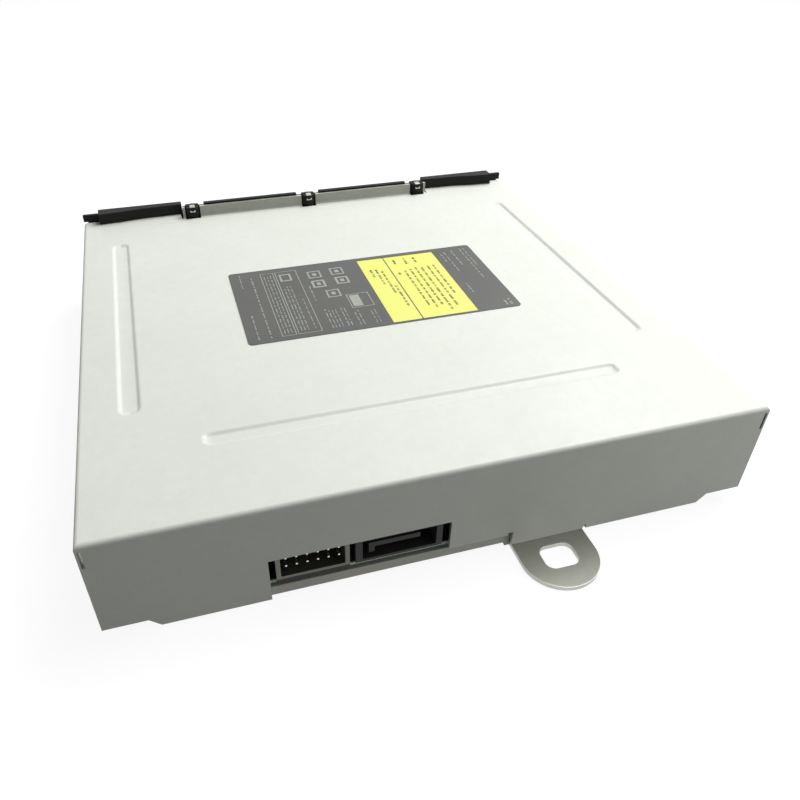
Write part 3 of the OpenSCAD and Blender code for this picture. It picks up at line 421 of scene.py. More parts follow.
FINISHES: dict[str, Finish] = {
    "cover_steel": sheet_finish("cover_steel", paint(226, 229, 220), paint(212, 216, 207), 0.4, 0.0),
    # Bare cut steel of the sheared edges; on the chassis tab its colour, brighter than the sheet, is also a painted
    # highlight along the edge.
    "cut_steel_and_highlight": turned_finish("cut_steel_and_highlight", paint(196, 197, 190), paint(132, 131, 124), 0.34),
    # The flange's darker copy of the cover's steel is painted shade: it is the same sheet as the cover, folded up to
    # face away from the light.
    "flange_shaded_steel": sheet_finish("flange_shaded_steel", paint(160, 162, 153), paint(140, 142, 134), 0.4, 0.2),
    "chassis_steel": sheet_finish("chassis_steel", paint(164, 166, 155), paint(146, 148, 138), 0.38, 0.2),
    "screw_steel": turned_finish("screw_steel", paint(120, 121, 124), paint(70, 70, 74), 0.3),
    "label_grey": Finish("label_grey", paint(55, 57, 52), 0.45, coat=0.2, layers=(
        Layer(Effect.MOTTLE, 22.0, paint(78, 80, 74), 0.6, 0.06),
        Layer(Effect.MOTTLE, 0.25, paint(48, 50, 46), 0.2, 0.04, 0.002),
    )),
    "label_yellow": Finish("label_yellow", paint(232, 235, 112), 0.45, layers=(
        Layer(Effect.MOTTLE, 12.0, paint(238, 240, 128), 0.5, 0.05),
        Layer(Effect.MOTTLE, 0.3, paint(230, 229, 120), 0.25, 0.04, 0.001),
    )),
    "label_print": Finish("label_print", paint(164, 167, 158), 0.5, layers=(
        Layer(Effect.MOTTLE, 1.2, paint(140, 144, 136), 0.6, 0.05),
    )),
    "field_print": Finish("field_print", paint(46, 46, 26), 0.5, layers=(
        Layer(Effect.MOTTLE, 1.0, paint(96, 94, 44), 0.6, 0.05),
    )),
    "bezel_plastic": moulded_finish("bezel_plastic", paint(9, 9, 8), paint(20, 20, 18), 0.55, specular=0.2),
    "felt": Finish("felt", paint(22, 22, 24), 0.95, specular=0.1, layers=(
        Layer(Effect.MOTTLE, 0.18, paint(52, 52, 56), 0.6, 0.0, 0.05),
        Layer(Effect.BRUSHED, 0.1, paint(12, 12, 13), 0.5, 0.0, 0.03),
    )),
    "board_green": Finish("board_green", paint(26, 66, 40), 0.35, coat=0.4, layers=(
        Layer(Effect.SPANGLE, 1.5, paint(40, 92, 56), 0.5, 0.05, 0.01),
        Layer(Effect.MOTTLE, 9.0, paint(20, 52, 32), 0.4, 0.05),
    )),
    # Near white for the board's sawn edge: partly its pale colour, mostly a painted highlight along the edge.
    "board_edge_highlight": Finish("board_edge_highlight", paint(250, 249, 236), 0.6, layers=(
        Layer(Effect.BRUSHED, 0.2, paint(214, 212, 192), 0.4, 0.1, 0.01),
    )),
    "header_plastic": moulded_finish("header_plastic", paint(168, 166, 154), paint(186, 184, 172), 0.5),
    # The header's dark inside is painted shade: a darkened copy of its ivory plastic, for its recess and its front
    # below the lip.
    "header_painted_shade": moulded_finish("header_painted_shade", paint(34, 34, 30), paint(50, 49, 44), 0.6),
    "pin_metal": turned_finish("pin_metal", paint(214, 212, 204), paint(168, 166, 158), 0.22),
    "hook_metal": turned_finish("hook_metal", paint(186, 186, 180), paint(110, 110, 106), 0.3),
    "socket_plastic": moulded_finish("socket_plastic", paint(16, 17, 16), paint(32, 33, 32), 0.5),
    "contact_gold": turned_finish("contact_gold", paint(222, 186, 104), paint(176, 136, 66), 0.24),
    "chip_black": moulded_finish("chip_black", paint(30, 31, 33), paint(52, 53, 56), 0.5),
    "socket_ivory": moulded_finish("socket_ivory", paint(222, 216, 194), paint(234, 230, 212), 0.42),
    "frame_plastic": moulded_finish("frame_plastic", paint(36, 37, 40), paint(58, 59, 62), 0.48),
    "motor_can": turned_finish("motor_can", paint(188, 190, 190), paint(140, 142, 142), 0.3),
    "shaft_steel": turned_finish("shaft_steel", paint(206, 208, 210), paint(168, 170, 172), 0.16),
    "pinion_brass": turned_finish("pinion_brass", paint(206, 172, 96), paint(150, 118, 56), 0.28),
    "gear_plastic": moulded_finish("gear_plastic", paint(226, 224, 214), paint(240, 239, 232), 0.38, 0.15),
    "roller_rubber": moulded_finish("roller_rubber", paint(34, 34, 37), paint(60, 60, 64), 0.72),
    "damper_rubber": moulded_finish("damper_rubber", paint(72, 54, 50), paint(96, 76, 70), 0.7),
    "sled_metal": turned_finish("sled_metal", paint(132, 134, 138), paint(98, 100, 104), 0.42),
    "lens_glass": Finish("lens_glass", paint(206, 226, 236), 0.04, transmission=1.0, layers=(
        Layer(Effect.MOTTLE, 1.5, paint(190, 206, 236), 0.4),
    )),
}


# Pieces


@dataclass(frozen=True)
class Making:
    """How a bmesh becomes a piece of the part.

    Attributes:
        name: The piece's name.
        finishes: Names of its finishes.
        replaces: CAD nodes that it stands for.
        body: CAD body that it rides on.
        crease: Angle in degrees past which an edge is shaded sharp.
        slot: Its material slot in the record, where that isn't named as its first finish; not used.
    """

    name: str
    finishes: tuple[str, ...]
    replaces: tuple[str, ...] = ()
    body: str = "chassis"
    crease: float = 36.0
    slot: str = ""

    def place(self, bm: bmesh.types.BMesh) -> bpy.types.Object:
        """Makes the object from a bmesh in millimetres and sets it on its body.

        Args:
            bm: The finished shape. It is freed.

        Returns:
            The piece.
        """
        bmesh.ops.scale(bm, vec=(MM, MM, MM), verts=bm.verts[:])
        mesh = bpy.data.meshes.new(self.name)
        bm.to_mesh(mesh)
        bm.free()
        for finish in self.finishes:
            mesh.materials.append(FINISHES[finish].material())
        weigh_normals(mesh, self.crease)
        piece = bpy.data.objects.new(self.name, mesh)
        bpy.context.scene.collection.objects.link(piece)
        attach(piece, self.body)
        if self.replaces:
            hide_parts(*self.replaces)
        LOG.info("%s: %d faces", self.name, len(mesh.polygons))
        return piece


def weigh_normals(mesh: bpy.types.Mesh, crease: float) -> None:
    """Shades a mesh so that its large flat faces stay flat and only their rounded edges bend the light.

    Args:
        mesh: The mesh.
        crease: Angle in degrees past which two faces don't share their shading.
    """
    mesh.shade_smooth()
    least = math.cos(math.radians(crease))
    around: list[list[bpy.types.MeshPolygon]] = [[] for _ in mesh.vertices]
    for face in mesh.polygons:
        for i in face.vertices:
            around[i].append(face)
    normals: list[Vector] = []
    for face in mesh.polygons:
        for i in face.vertices:
            total = Vector((0.0, 0.0, 0.0))
            for near in around[i]:
                if near.normal.dot(face.normal) > least:
                    total += near.normal * near.area
            normals.append(total.normalized() if total.length else face.normal.copy())
    mesh.normals_split_custom_set(normals)


def add_box(bm: bmesh.types.BMesh, low: Sequence[float], high: Sequence[float], round_off: float = 0.0) -> list:
    """Adds a box with rounded edges.

    Args:
        bm: The bmesh that it goes into.
        low: Its lowest corner.
        high: Its highest corner.
        round_off: Radius of its edges, or 0.

    Returns:
        The box's vertices before rounding.
    """
    size = Vector(high) - Vector(low)
    middle = (Vector(high) + Vector(low)) / 2
    matrix = Matrix.Translation(middle) @ Matrix.Diagonal((*size, 1.0))
    verts = bmesh.ops.create_cube(bm, size=1.0, matrix=matrix)["verts"]
    if round_off:
        edges = list({e for v in verts for e in v.link_edges})
        bmesh.ops.bevel(bm, geom=edges, offset=round_off, offset_type="OFFSET", segments=2, profile=0.5,
                        affect="EDGES", material=-1, clamp_overlap=True)
    return verts


def cut_across(bm: bmesh.types.BMesh, axis: int, places: Iterable[float]) -> None:
    """Cuts a mesh by planes square to one axis.

    Args:
        bm: The mesh.
        axis: 0, 1 or 2 for X, Y or Z.
        places: Where the planes stand on that axis.
    """
    direction = Vector((0, 0, 0))
    direction[axis] = 1.0
    for place in sorted(set(round(p, 4) for p in places)):
        bmesh.ops.bisect_plane(bm, geom=bm.verts[:] + bm.edges[:] + bm.faces[:], dist=1e-5,
                               plane_co=direction * place, plane_no=direction)


def softened_copy(node: str, radius: float, least_angle: float = 28.0) -> bmesh.types.BMesh:
    """A copy of a CAD node in millimetres whose sharp edges are rounded.

    Args:
        node: The node.
        radius: Radius of the rounding.
        least_angle: Angle in degrees past which an edge is rounded.

    Returns:
        The copy.
    """
    bm = bmesh.new()
    bm.from_mesh(frame["nodes"][node].data)
    bmesh.ops.scale(bm, vec=(1 / MM, 1 / MM, 1 / MM), verts=bm.verts[:])
    bmesh.ops.remove_doubles(bm, verts=bm.verts[:], dist=0.002)
    bmesh.ops.recalc_face_normals(bm, faces=bm.faces[:])
    bmesh.ops.dissolve_limit(bm, angle_limit=math.radians(1.0), verts=bm.verts[:], edges=bm.edges[:])
    least = math.radians(least_angle)
    sharp = [e for e in bm.edges if len(e.link_faces) == 2 and e.calc_face_angle(0.0) > least]
    low = Vector([min(v.co[i] for v in bm.verts) for i in range(3)])
    high = Vector([max(v.co[i] for v in bm.verts) for i in range(3)])
    bmesh.ops.bevel(bm, geom=sharp, offset=radius, offset_type="OFFSET", segments=2, profile=0.5,
                    affect="EDGES", material=-1, clamp_overlap=False)
    for v in bm.verts:
        v.co = [min(max(v.co[i], low[i]), high[i]) for i in range(3)]
    return bm


@dataclass
class Groove:
    """A pressed groove with round ends, along X or Y."""

    x: float
    y: float
    length: float
    width: float
    along_x: bool
    slope: float = 1.0

    @property
    def reach(self) -> float:
        """Half the length of its straight middle line."""
        return (self.length - self.width) / 2

    def share_at(self, x: float, y: float) -> float:
        """How much of the full depth the groove has at a place.

        Args:
            x: Place across the body.
            y: Place along the depth.

        Returns:
            A share from 0, outside, to 1, on its floor.
        """
        along, across = (x - self.x, y - self.y) if self.along_x else (y - self.y, x - self.x)
        beyond = max(abs(along) - self.reach, 0.0)
        distance = math.hypot(beyond, across)
        return smooth_step((self.width / 2 + 0.2 - distance) / self.slope)

    def lines(self) -> tuple[list[float], list[float]]:
        """Places of the cuts that its shape needs, along X and along Y."""
        half = self.width / 2
        steps = [half + 0.2 - self.slope * s / 5 for s in range(6)] + [half + 0.45]
        across = [s * step for s in (-1, 1) for step in steps] + [0.0]
        along = [s * (self.reach + step) for s in (-1, 1) for step in [*steps, 0.0, half * 0.35]]
        on_x = [self.x + p for p in (along if self.along_x else across)]
        on_y = [self.y + p for p in (across if self.along_x else along)]
        return on_x, on_y


@dataclass
class CoverSheet:
    """The folded cover: one steel sheet, cut flat, pressed, folded up and given its thickness."""

    half: float = 66.0
    front_y: float = 66.0
    top_end: float = 64.4
    top_z: float = 24.6
    low_z: float = 1.05
    sheet: float = 0.8
    bend: float = 0.9
    groove_depth: float = 0.5
    flange_y: float = 60.8
    flange_top: float = 27.6
    flange_bend: float = 0.6
    clip_x: float = 0.3
    clip_pitch: float = 35.1
    clip_w: float = 4.4
    notch_back: float = 1.4
    relief: float = 0.5
    window: tuple[float, float, float] = (-35.9, -0.85, 11.5)
    low_run: tuple[float, float, float] = (-35.9, 12.75, 4.1)
    tab_notch: tuple[float, float, float] = (11.55, 12.75, 4.7)
    side_notch: tuple[float, float, float] = (28.75, 29.45, 2.1)
    lift_z: float = 3.1
    lift_x: tuple[float, float] = (56.0, 58.0)
    slit_w: float = 0.5
    slit_z: tuple[float, float] = (19.3, 23.3)
    hook_y: tuple[float, float] = (-38.0, 30.0)
    hook_half: tuple[float, float] = (3.5, 1.2)
    hook_z: float = 6.0
    edge_round: float = 0.07
    grooves: tuple[Groove, ...] = field(default_factory=lambda: (
        Groove(-56.1, 6.8, 80.0, 4.2, False), Groove(56.1, 6.8, 80.0, 4.2, False),
        Groove(0.4, -44.9, 87.6, 3.7, True)))

    @property
    def arc(self) -> float:
        """Length of the outer surface in one bend."""
        return self.bend * math.pi / 2

    @property
    def flat_x(self) -> float:
        """Half width of the flat top, where the side bends start."""
        return self.half - self.bend

    @property
    def wall_u(self) -> float:
        """Place in the flat sheet where a side bend ends."""
        return self.flat_x + self.arc

    @property
    def slit_u(self) -> float:
        """Outer edge, in the flat sheet, of the slit beside a rear corner."""
        return self.flat_x + self.bend * math.asin(self.slit_w / self.bend)

    @property
    def flat_y(self) -> float:
        """Place where the rear bend starts."""
        return self.bend - self.half

    @property
    def wing_in(self) -> float:
        """Half length of the flange, from the middle clip."""
        return self.clip_pitch + self.clip_w / 2 + 0.7

    @property
    def flange_end(self) -> float:
        """End of the flange in the flat sheet."""
        rise = self.flange_top - self.top_z - self.flange_bend
        return self.flange_y - self.flange_bend + self.flange_bend * math.pi / 2 + rise

    def side_u(self, z: float) -> float:
        """Distance from the middle of the flat sheet to a height on a side wall."""
        return self.flat_x + self.arc + self.top_z - self.bend - z

    def rear_v(self, z: float) -> float:
        """Place in the flat sheet of a height on the rear wall."""
        return self.flat_y - self.arc - (self.top_z - self.bend - z)

    def clips(self) -> list[float]:
        """Middles of the three clip notches."""
        return [self.clip_x + i * self.clip_pitch for i in (-1, 0, 1)]

    def flat_sheet(self) -> bmesh.types.BMesh:
        """The whole rectangle of sheet, divided wherever it is cut, pressed or folded."""
        bm = bmesh.new()
        wide = self.side_u(self.low_z)
        low = self.rear_v(self.low_z)
        verts = bmesh.ops.create_grid(bm, x_segments=1, y_segments=1, size=1.0)["verts"]
        span = max(v.co.x for v in verts)
        for v in verts:
            v.co.x *= wide / span
            v.co.y = low if v.co.y < 0 else self.front_y
        on_x: list[float] = []
        on_y: list[float] = []
        for s in (-1, 1):
            on_x += [s * (self.flat_x + self.arc * k / 5) for k in range(6)] + [s * self.slit_u]
            on_x += [s * p for p in self.lift_x]
            on_x += [s * self.side_u(z) for z in (self.hook_z - self.hook_half[1], self.lift_z,
                                                  self.hook_z + self.hook_half[1], self.top_z - self.bend - 0.8)]
            on_x += [self.clip_x + s * (self.wing_in + g) for g in (0.0, self.relief)]
            on_x += [c + s * self.clip_w / 2 for c in self.clips()]
            on_y += [y + s * self.hook_half[0] for y in self.hook_y]
        for x0, x1, z in (self.window, self.low_run, self.tab_notch, self.side_notch):
            on_x += [x0, x1]
            on_y.append(self.rear_v(z))
        on_y += [self.flat_y - self.arc * k / 5 for k in range(6)]
        on_y += [self.rear_v(z) for z in self.slit_z]
        on_y += [self.rear_v(self.lift_z), self.sheet + 0.1 - self.half, 8.0 - self.half, self.top_end]
        turn = self.flange_bend * math.pi / 2
        on_y += [self.flange_y - self.flange_bend + turn * k / 4 for k in range(5)]
        on_y += [self.flange_y - self.notch_back, self.flange_end]
        for groove in self.grooves:
            more_x, more_y = groove.lines()
            on_x += more_x
            on_y += more_y
        cut_across(bm, 0, on_x)
        cut_across(bm, 1, on_y)
        return bm

    def keeps(self, u: float, v: float) -> bool:
        """Whether the sheet has metal at a place of the flat rectangle.

        Args:
            u: Place across the flat sheet.
            v: Place along the flat sheet.

        Returns:
            True where metal stays.
        """
        out = abs(u)
        if out > self.wall_u:
            z = self.top_z - self.bend - (out - self.wall_u)
            if v < self.sheet + 0.1 - self.half or (v < 8.0 - self.half and z < self.lift_z):
                return False
            if v > self.top_end and z > self.top_z - self.bend - 0.8:
                return False
            return not any(abs(v - y) < self.hook_half[0] and abs(z - self.hook_z) < self.hook_half[1]
                           for y in self.hook_y)
        if v < self.flat_y - self.arc:
            return self.keeps_rear(u, self.top_z - self.bend + v - self.flat_y + self.arc)
        if out > self.flat_x:
            return v < self.top_end
        from_clip = abs(u - self.clip_x)
        if from_clip < self.wing_in:
            notched = any(abs(u - c) < self.clip_w / 2 for c in self.clips())
            return v < self.flange_end and not (notched and v > self.flange_y - self.notch_back)
        in_relief = from_clip < self.wing_in + self.relief and v > self.flange_y - self.flange_bend
        return v < self.top_end and not in_relief

    def keeps_rear(self, x: float, z: float) -> bool:
        """Whether the rear wall has metal at a place: everything but its window and notches.

        Args:
            x: Place across the wall.
            z: Height on the wall.

        Returns:
            True where metal stays.
        """
        for x0, x1, top in (self.window, self.low_run, self.tab_notch, self.side_notch):
            if x0 < x < x1 and z < top:
                return False
        start, end = self.lift_x
        if self.flat_x < abs(x) < self.slit_u and self.slit_z[0] < z < self.slit_z[1]:
            return False
        if abs(x) > end:
            return z > self.lift_z
        if abs(x) > start:
            return z > self.low_z + (abs(x) - start) / (end - start) * (self.lift_z - self.low_z)
        return True

    def slant_corners(self, bm: bmesh.types.BMesh) -> None:
        """Cuts the slanted ends of the rear wall's lifted corners."""
        start, end = self.lift_x
        low, high = self.rear_v(self.low_z), self.rear_v(self.lift_z)
        for s in (-1, 1):
            faces = [f for f in bm.faces if start < s * f.calc_center_median().x < end
                     and f.calc_center_median().y < high]
            geom = list({v for f in faces for v in f.verts}) + list({e for f in faces for e in f.edges}) + faces
            bmesh.ops.bisect_plane(bm, geom=geom, dist=1e-5, plane_co=(s * start, low, 0),
                                   plane_no=(s * (high - low), start - end, 0))

    def press(self, bm: bmesh.types.BMesh) -> None:
        """Presses the grooves into the flat top."""
        for v in bm.verts:
            share = max(g.share_at(v.co.x, v.co.y) for g in self.grooves)
            v.co.z -= self.groove_depth * share

    def folded(self, u: float, v: float, w: float) -> Vector:
        """A place of the flat sheet after folding.

        Args:
            u: Place across the flat sheet.
            v: Place along it.
            w: Height over it, from pressing.

        Returns:
            The place on the folded cover's outer surface.
        """
        def bent(past: float) -> tuple[float, float]:
            """How far out and down a place lies that is past the start of a bend."""
            if past < self.arc:
                angle = past / self.bend
                return self.bend * math.sin(angle), self.bend * (1 - math.cos(angle))
            return self.bend, self.bend + past - self.arc

        rear_past = self.flat_y - v
        side_past = abs(u) - self.flat_x
        if rear_past > 1e-5 and side_past < self.arc + 1e-4:
            out, down = bent(rear_past)
            aside, drop = bent(max(side_past, 0.0))
            x = math.copysign(self.flat_x + aside, u) if side_past > 0 else u
            return Vector((x, self.flat_y - out, self.top_z - max(down, drop)))
        if side_past > 1e-5:
            out, down = bent(side_past)
            return Vector((math.copysign(self.flat_x + out, u), v, self.top_z - down))
        rise_past = v - self.flange_y + self.flange_bend
        if rise_past > 1e-5 and abs(u - self.clip_x) < self.wing_in + 1e-4:
            angle = min(rise_past / self.flange_bend, math.pi / 2)
            straight = max(rise_past - self.flange_bend * math.pi / 2, 0.0)
            return Vector((u, self.flange_y - self.flange_bend * (1 - math.sin(angle)),
                           self.top_z + self.flange_bend * (1 - math.cos(angle)) + straight))
        return Vector((u, v, self.top_z + w))

    def thicken(self, bm: bmesh.types.BMesh) -> None:
        """Gives the folded sheet its thickness, its bare cut edges and their small rounding, and paints shade onto
        its upturned flange.
        """
        outer = set(bm.verts)
        bmesh.ops.recalc_face_normals(bm, faces=bm.faces[:])
        # Faces above the top, which are the upturned flange, take the darker flange finish: painted shade on the same
        # steel.
        for f in bm.faces:
            if f.calc_center_median().z > self.top_z + 0.1:
                f.material_index = 2
        top = max(bm.faces, key=lambda f: f.calc_area())
        if top.normal.z < 0:
            bmesh.ops.reverse_faces(bm, faces=bm.faces[:])
        bmesh.ops.solidify(bm, geom=bm.faces[:], thickness=self.sheet)
        rims = [f for f in bm.faces if any(v in outer for v in f.verts) and any(v not in outer for v in f.verts)]
        for f in rims:
            f.material_index = 1
        edges = {e for f in rims for e in f.edges if e.calc_face_angle(0.0) > math.radians(60)}
        bmesh.ops.bevel(bm, geom=list(edges), offset=self.edge_round, offset_type="OFFSET", segments=2,
                        profile=0.5, affect="EDGES", material=-1, clamp_overlap=True)

    def build(self) -> None:
        """Makes the cover."""
        bm = self.flat_sheet()
        self.slant_corners(bm)
        gone = [f for f in bm.faces if not self.keeps(*f.calc_center_median().xy)]
        bmesh.ops.delete(bm, geom=gone, context="FACES")
        self.press(bm)
        for v in bm.verts:
            v.co = self.folded(*v.co)
        self.thicken(bm)
        Making("cover_sheet", ("cover_steel", "cut_steel_and_highlight", "flange_shaded_steel"), ("top_cover",)).place(bm)


@dataclass
class RatingLabel:
    """The generic print on the label: bars, rules and squares where a real label has its text."""

    left: float = -30.0
    right: float = 36.2
    low: float = -15.0
    high: float = 20.2
    print_z: float = 24.74
    print_t: float = 0.03
    field_left: float = 3.9
    field_line: float = 11.1
    stroke: float = 0.42
    seed: int = 11

    def bar(self, bm: bmesh.types.BMesh, x0: float, x1: float, y0: float, y1: float) -> None:
        """Adds one printed bar."""
        add_box(bm, (x0, y0, self.print_z), (x1, y1, self.print_z + self.print_t))

    def words(self, bm: bmesh.types.BMesh, x: float, y0: float, y1: float, stroke: float,
              chance: random.Random) -> None:
        """Adds a row of word-long bars that runs along Y.

        Args:
            bm: The print's mesh.
            x: Middle of the row.
            y0: Start of the row.
            y1: End of the row.
            stroke: Width of the row.
            chance: Where the lengths come from.
        """
        y = y0
        while y < y1 - 0.5:
            end = min(y + chance.uniform(0.7, 2.6), y1)
            while y < end:
                step = min(chance.uniform(0.25, 0.6), end - y)
                lean = chance.uniform(0.55, 1.0) * stroke / 2
                self.bar(bm, x - lean, x + lean, y, y + step)
                y += step + 0.14
            y += 0.5

    def frame_lines(self, bm: bmesh.types.BMesh, x0: float, x1: float, y0: float, y1: float, rule: float) -> None:
        """Adds the outline of a printed box.

        Args:
            bm: The print's mesh.
            x0: Left edge.
            x1: Right edge.
            y0: Rear edge.
            y1: Front edge.
            rule: Width of its lines.
        """
        self.bar(bm, x0, x0 + rule, y0, y1)
        self.bar(bm, x1 - rule, x1, y0, y1)
        self.bar(bm, x0 + rule, x1 - rule, y0, y0 + rule)
        self.bar(bm, x0 + rule, x1 - rule, y1 - rule, y1)

    def pale_print(self) -> None:
        """Makes the pale print of the grey parts."""
        bm = bmesh.new()
        chance = random.Random(self.seed)
        low, high = self.low + 1.6, self.high - 1.6
        self.words(bm, self.left + 2.6, low, low + 11, 0.34, chance)
        self.words(bm, self.left + 2.6, high - 7, high, 0.34, chance)
        self.words(bm, self.left + 5.4, low, high - 2, self.stroke, chance)
        self.frame_lines(bm, self.left + 7.8, self.left + 11.2, low, high - 0.6, 0.18)
        for x in (8.7, 9.5, 10.3):
            self.words(bm, self.left + x, low + 1, high - 2, 0.3, chance)
        self.frame_lines(bm, self.left + 11.6, self.left + 17.2, low, high - 0.6, 0.18)
        for x in (12.6, 13.4, 14.2):
            self.words(bm, self.left + x, low + 1.5, high - 9, 0.34, chance)
        self.frame_lines(bm, self.left + 12.4, self.left + 15.4, high - 6.0, high - 2.2, 0.5)
        self.words(bm, self.left + 15.9, low + 1.5, high - 16, 0.3, chance)
        for i, (x, y) in enumerate(((-8.6, 14.2), (-8.6, 9.0), (-2.6, 14.6), (-2.4, 9.4), (-6.2, 3.2))):
            self.frame_lines(bm, x - 1.7, x + 1.7, y - 1.9, y + 1.9, 0.55 if i % 2 else 0.4)
            self.bar(bm, x - 0.5, x + 0.5, y - 0.7, y + 0.7)
        self.words(bm, -11.2, 0.5, 8.5, 0.4, chance)
        for x in (-10.2, -9.4, -8.6, -7.8, -6.4, -5.6):
            self.words(bm, x, low + 0.5, low + 9.5, 0.34, chance)
        self.frame_lines(bm, -3.6, 2.0, -5.2, 1.6, 0.22)
        self.bar(bm, -3.0, -0.6, -4.6, 1.0)
        for x in (-3.6, -2.7, 0.3, 1.2):
            self.words(bm, x, low + 0.2, low + 7.0, 0.32, chance)
        for x, a, b in ((27.0, 12, 17), (28.2, 6, 17.5), (30.4, 9, 18), (33.0, 1, 18.6), (34.1, 8, 18.6), (27.4, -6, -1)):
            self.words(bm, x, a, b, 0.42, chance)
        self.words(bm, self.right - 2.0, low - 0.4, low + 2.2, 0.9, chance)
        self.words(bm, self.right - 3.2, low - 0.4, low + 1.8, 0.7, chance)
        Making("label_bars", ("label_print",), ("label_marks",)).place(bm)

    def field_rows(self) -> None:
        """Makes the dark rows on the yellow field."""
        bm = bmesh.new()
        chance = random.Random(self.seed + 1)
        for x, a, b in ((6.0, 8.4, 12.4), (7.4, 4.0, 12.8), (8.7, -1.0, 12.2), (9.8, -8.0, 2.6),
                        (12.8, 8.0, 9.0), (13.4, 14.0, 16.4), (14.6, -9.0, 9.6), (16.2, -10.6, 10.2),
                        (16.4, 13.4, 16.8), (17.8, -9.6, 10.8), (19.0, 13.6, 16.8), (19.4, -12.4, 10.2),
                        (21.2, -10.8, 11.0), (22.8, -5.0, 11.6)):
            self.words(bm, x, self.low + 15.2 + a, self.low + 15.2 + b, 0.68, chance)
        Making("field_rows", ("field_print",), slot="label_print").place(bm)

    def build(self) -> None:
        """Makes all of the print."""
        self.pale_print()
        self.field_rows()


@dataclass
class SlotBezel:
    """The black moulding round the disc slot, its spring hooks and its felt."""

    rounding: float = 0.16
    clip_x: float = 0.3
    clip_pitch: float = 35.1
    flange_y: float = 60.8
    hook_top: float = 27.85
    hook_w: float = 1.5
    slot_half: float = 61.25
    disc_z: float = 15.5
    slot_h: float = 5.0
    felt_y: tuple[float, float] = (61.1, 61.75)
    felt_h: float = 1.5
    fibres: int = 260

    def moulding(self) -> None:
        """Makes the moulding, with its edges rounded."""
        Making("bezel_moulding", ("bezel_plastic",), ("front_bezel",)).place(
            softened_copy("front_bezel", self.rounding))

    def hooks(self) -> None:
        """Makes the bright spring hook in each clip."""
        bm = bmesh.new()
        for i in (-1, 0, 1):
            x = self.clip_x + i * self.clip_pitch
            y = self.flange_y - 0.9
            half = self.hook_w / 2
            verts = add_box(bm, (x - half, y, self.hook_top - 1.5), (x + half, y + 0.35, self.hook_top - 0.3))
            bmesh.ops.rotate(bm, cent=(x, y, self.hook_top - 0.3), verts=verts,
                             matrix=Matrix.Rotation(math.radians(-18), 3, "X"))
            verts = add_box(bm, (x - half, y, self.hook_top - 0.32), (x + half, y + 1.6, self.hook_top + 0.05))
            bmesh.ops.rotate(bm, cent=(x, y, self.hook_top), verts=verts,
                             matrix=Matrix.Rotation(math.radians(6), 3, "X"))
        edges = [e for e in bm.edges if e.calc_face_angle(0.0) > 0.5]
        bmesh.ops.bevel(bm, geom=edges, offset=0.1, offset_type="OFFSET", segments=2, profile=0.5,
                        affect="EDGES", material=-1, clamp_overlap=True)
        Making("clip_hooks", ("hook_metal",), slot="pin_metal").place(bm)

    def felt(self) -> None:
        """Makes the two felt strips that wipe the disc, with a napped surface."""
        bm = bmesh.new()
        for s in (-1, 1):
            z = self.disc_z + s * (self.slot_h / 2 + 0.45)
            add_box(bm, (-self.slot_half, self.felt_y[0], z - self.felt_h / 2),
                    (self.slot_half, self.felt_y[1], z + self.felt_h / 2), 0.18)
        step = 2 * self.slot_half / self.fibres
        cut_across(bm, 0, [-self.slot_half + step * i for i in range(1, self.fibres)])
        for v in bm.verts:
            nap = noise.noise(Vector((v.co.x * 2.3, v.co.y * 7.0, v.co.z * 5.0)))
            v.co.y -= 0.06 * abs(nap) if v.co.y < sum(self.felt_y) / 2 else 0.0
            v.co.z += 0.05 * nap
        Making("felt_strips", ("felt",), ("slot_felt",), crease=60.0).place(bm)

    def build(self) -> None:
        """Makes the bezel's pieces."""
        self.moulding()
        self.hooks()
        self.felt()


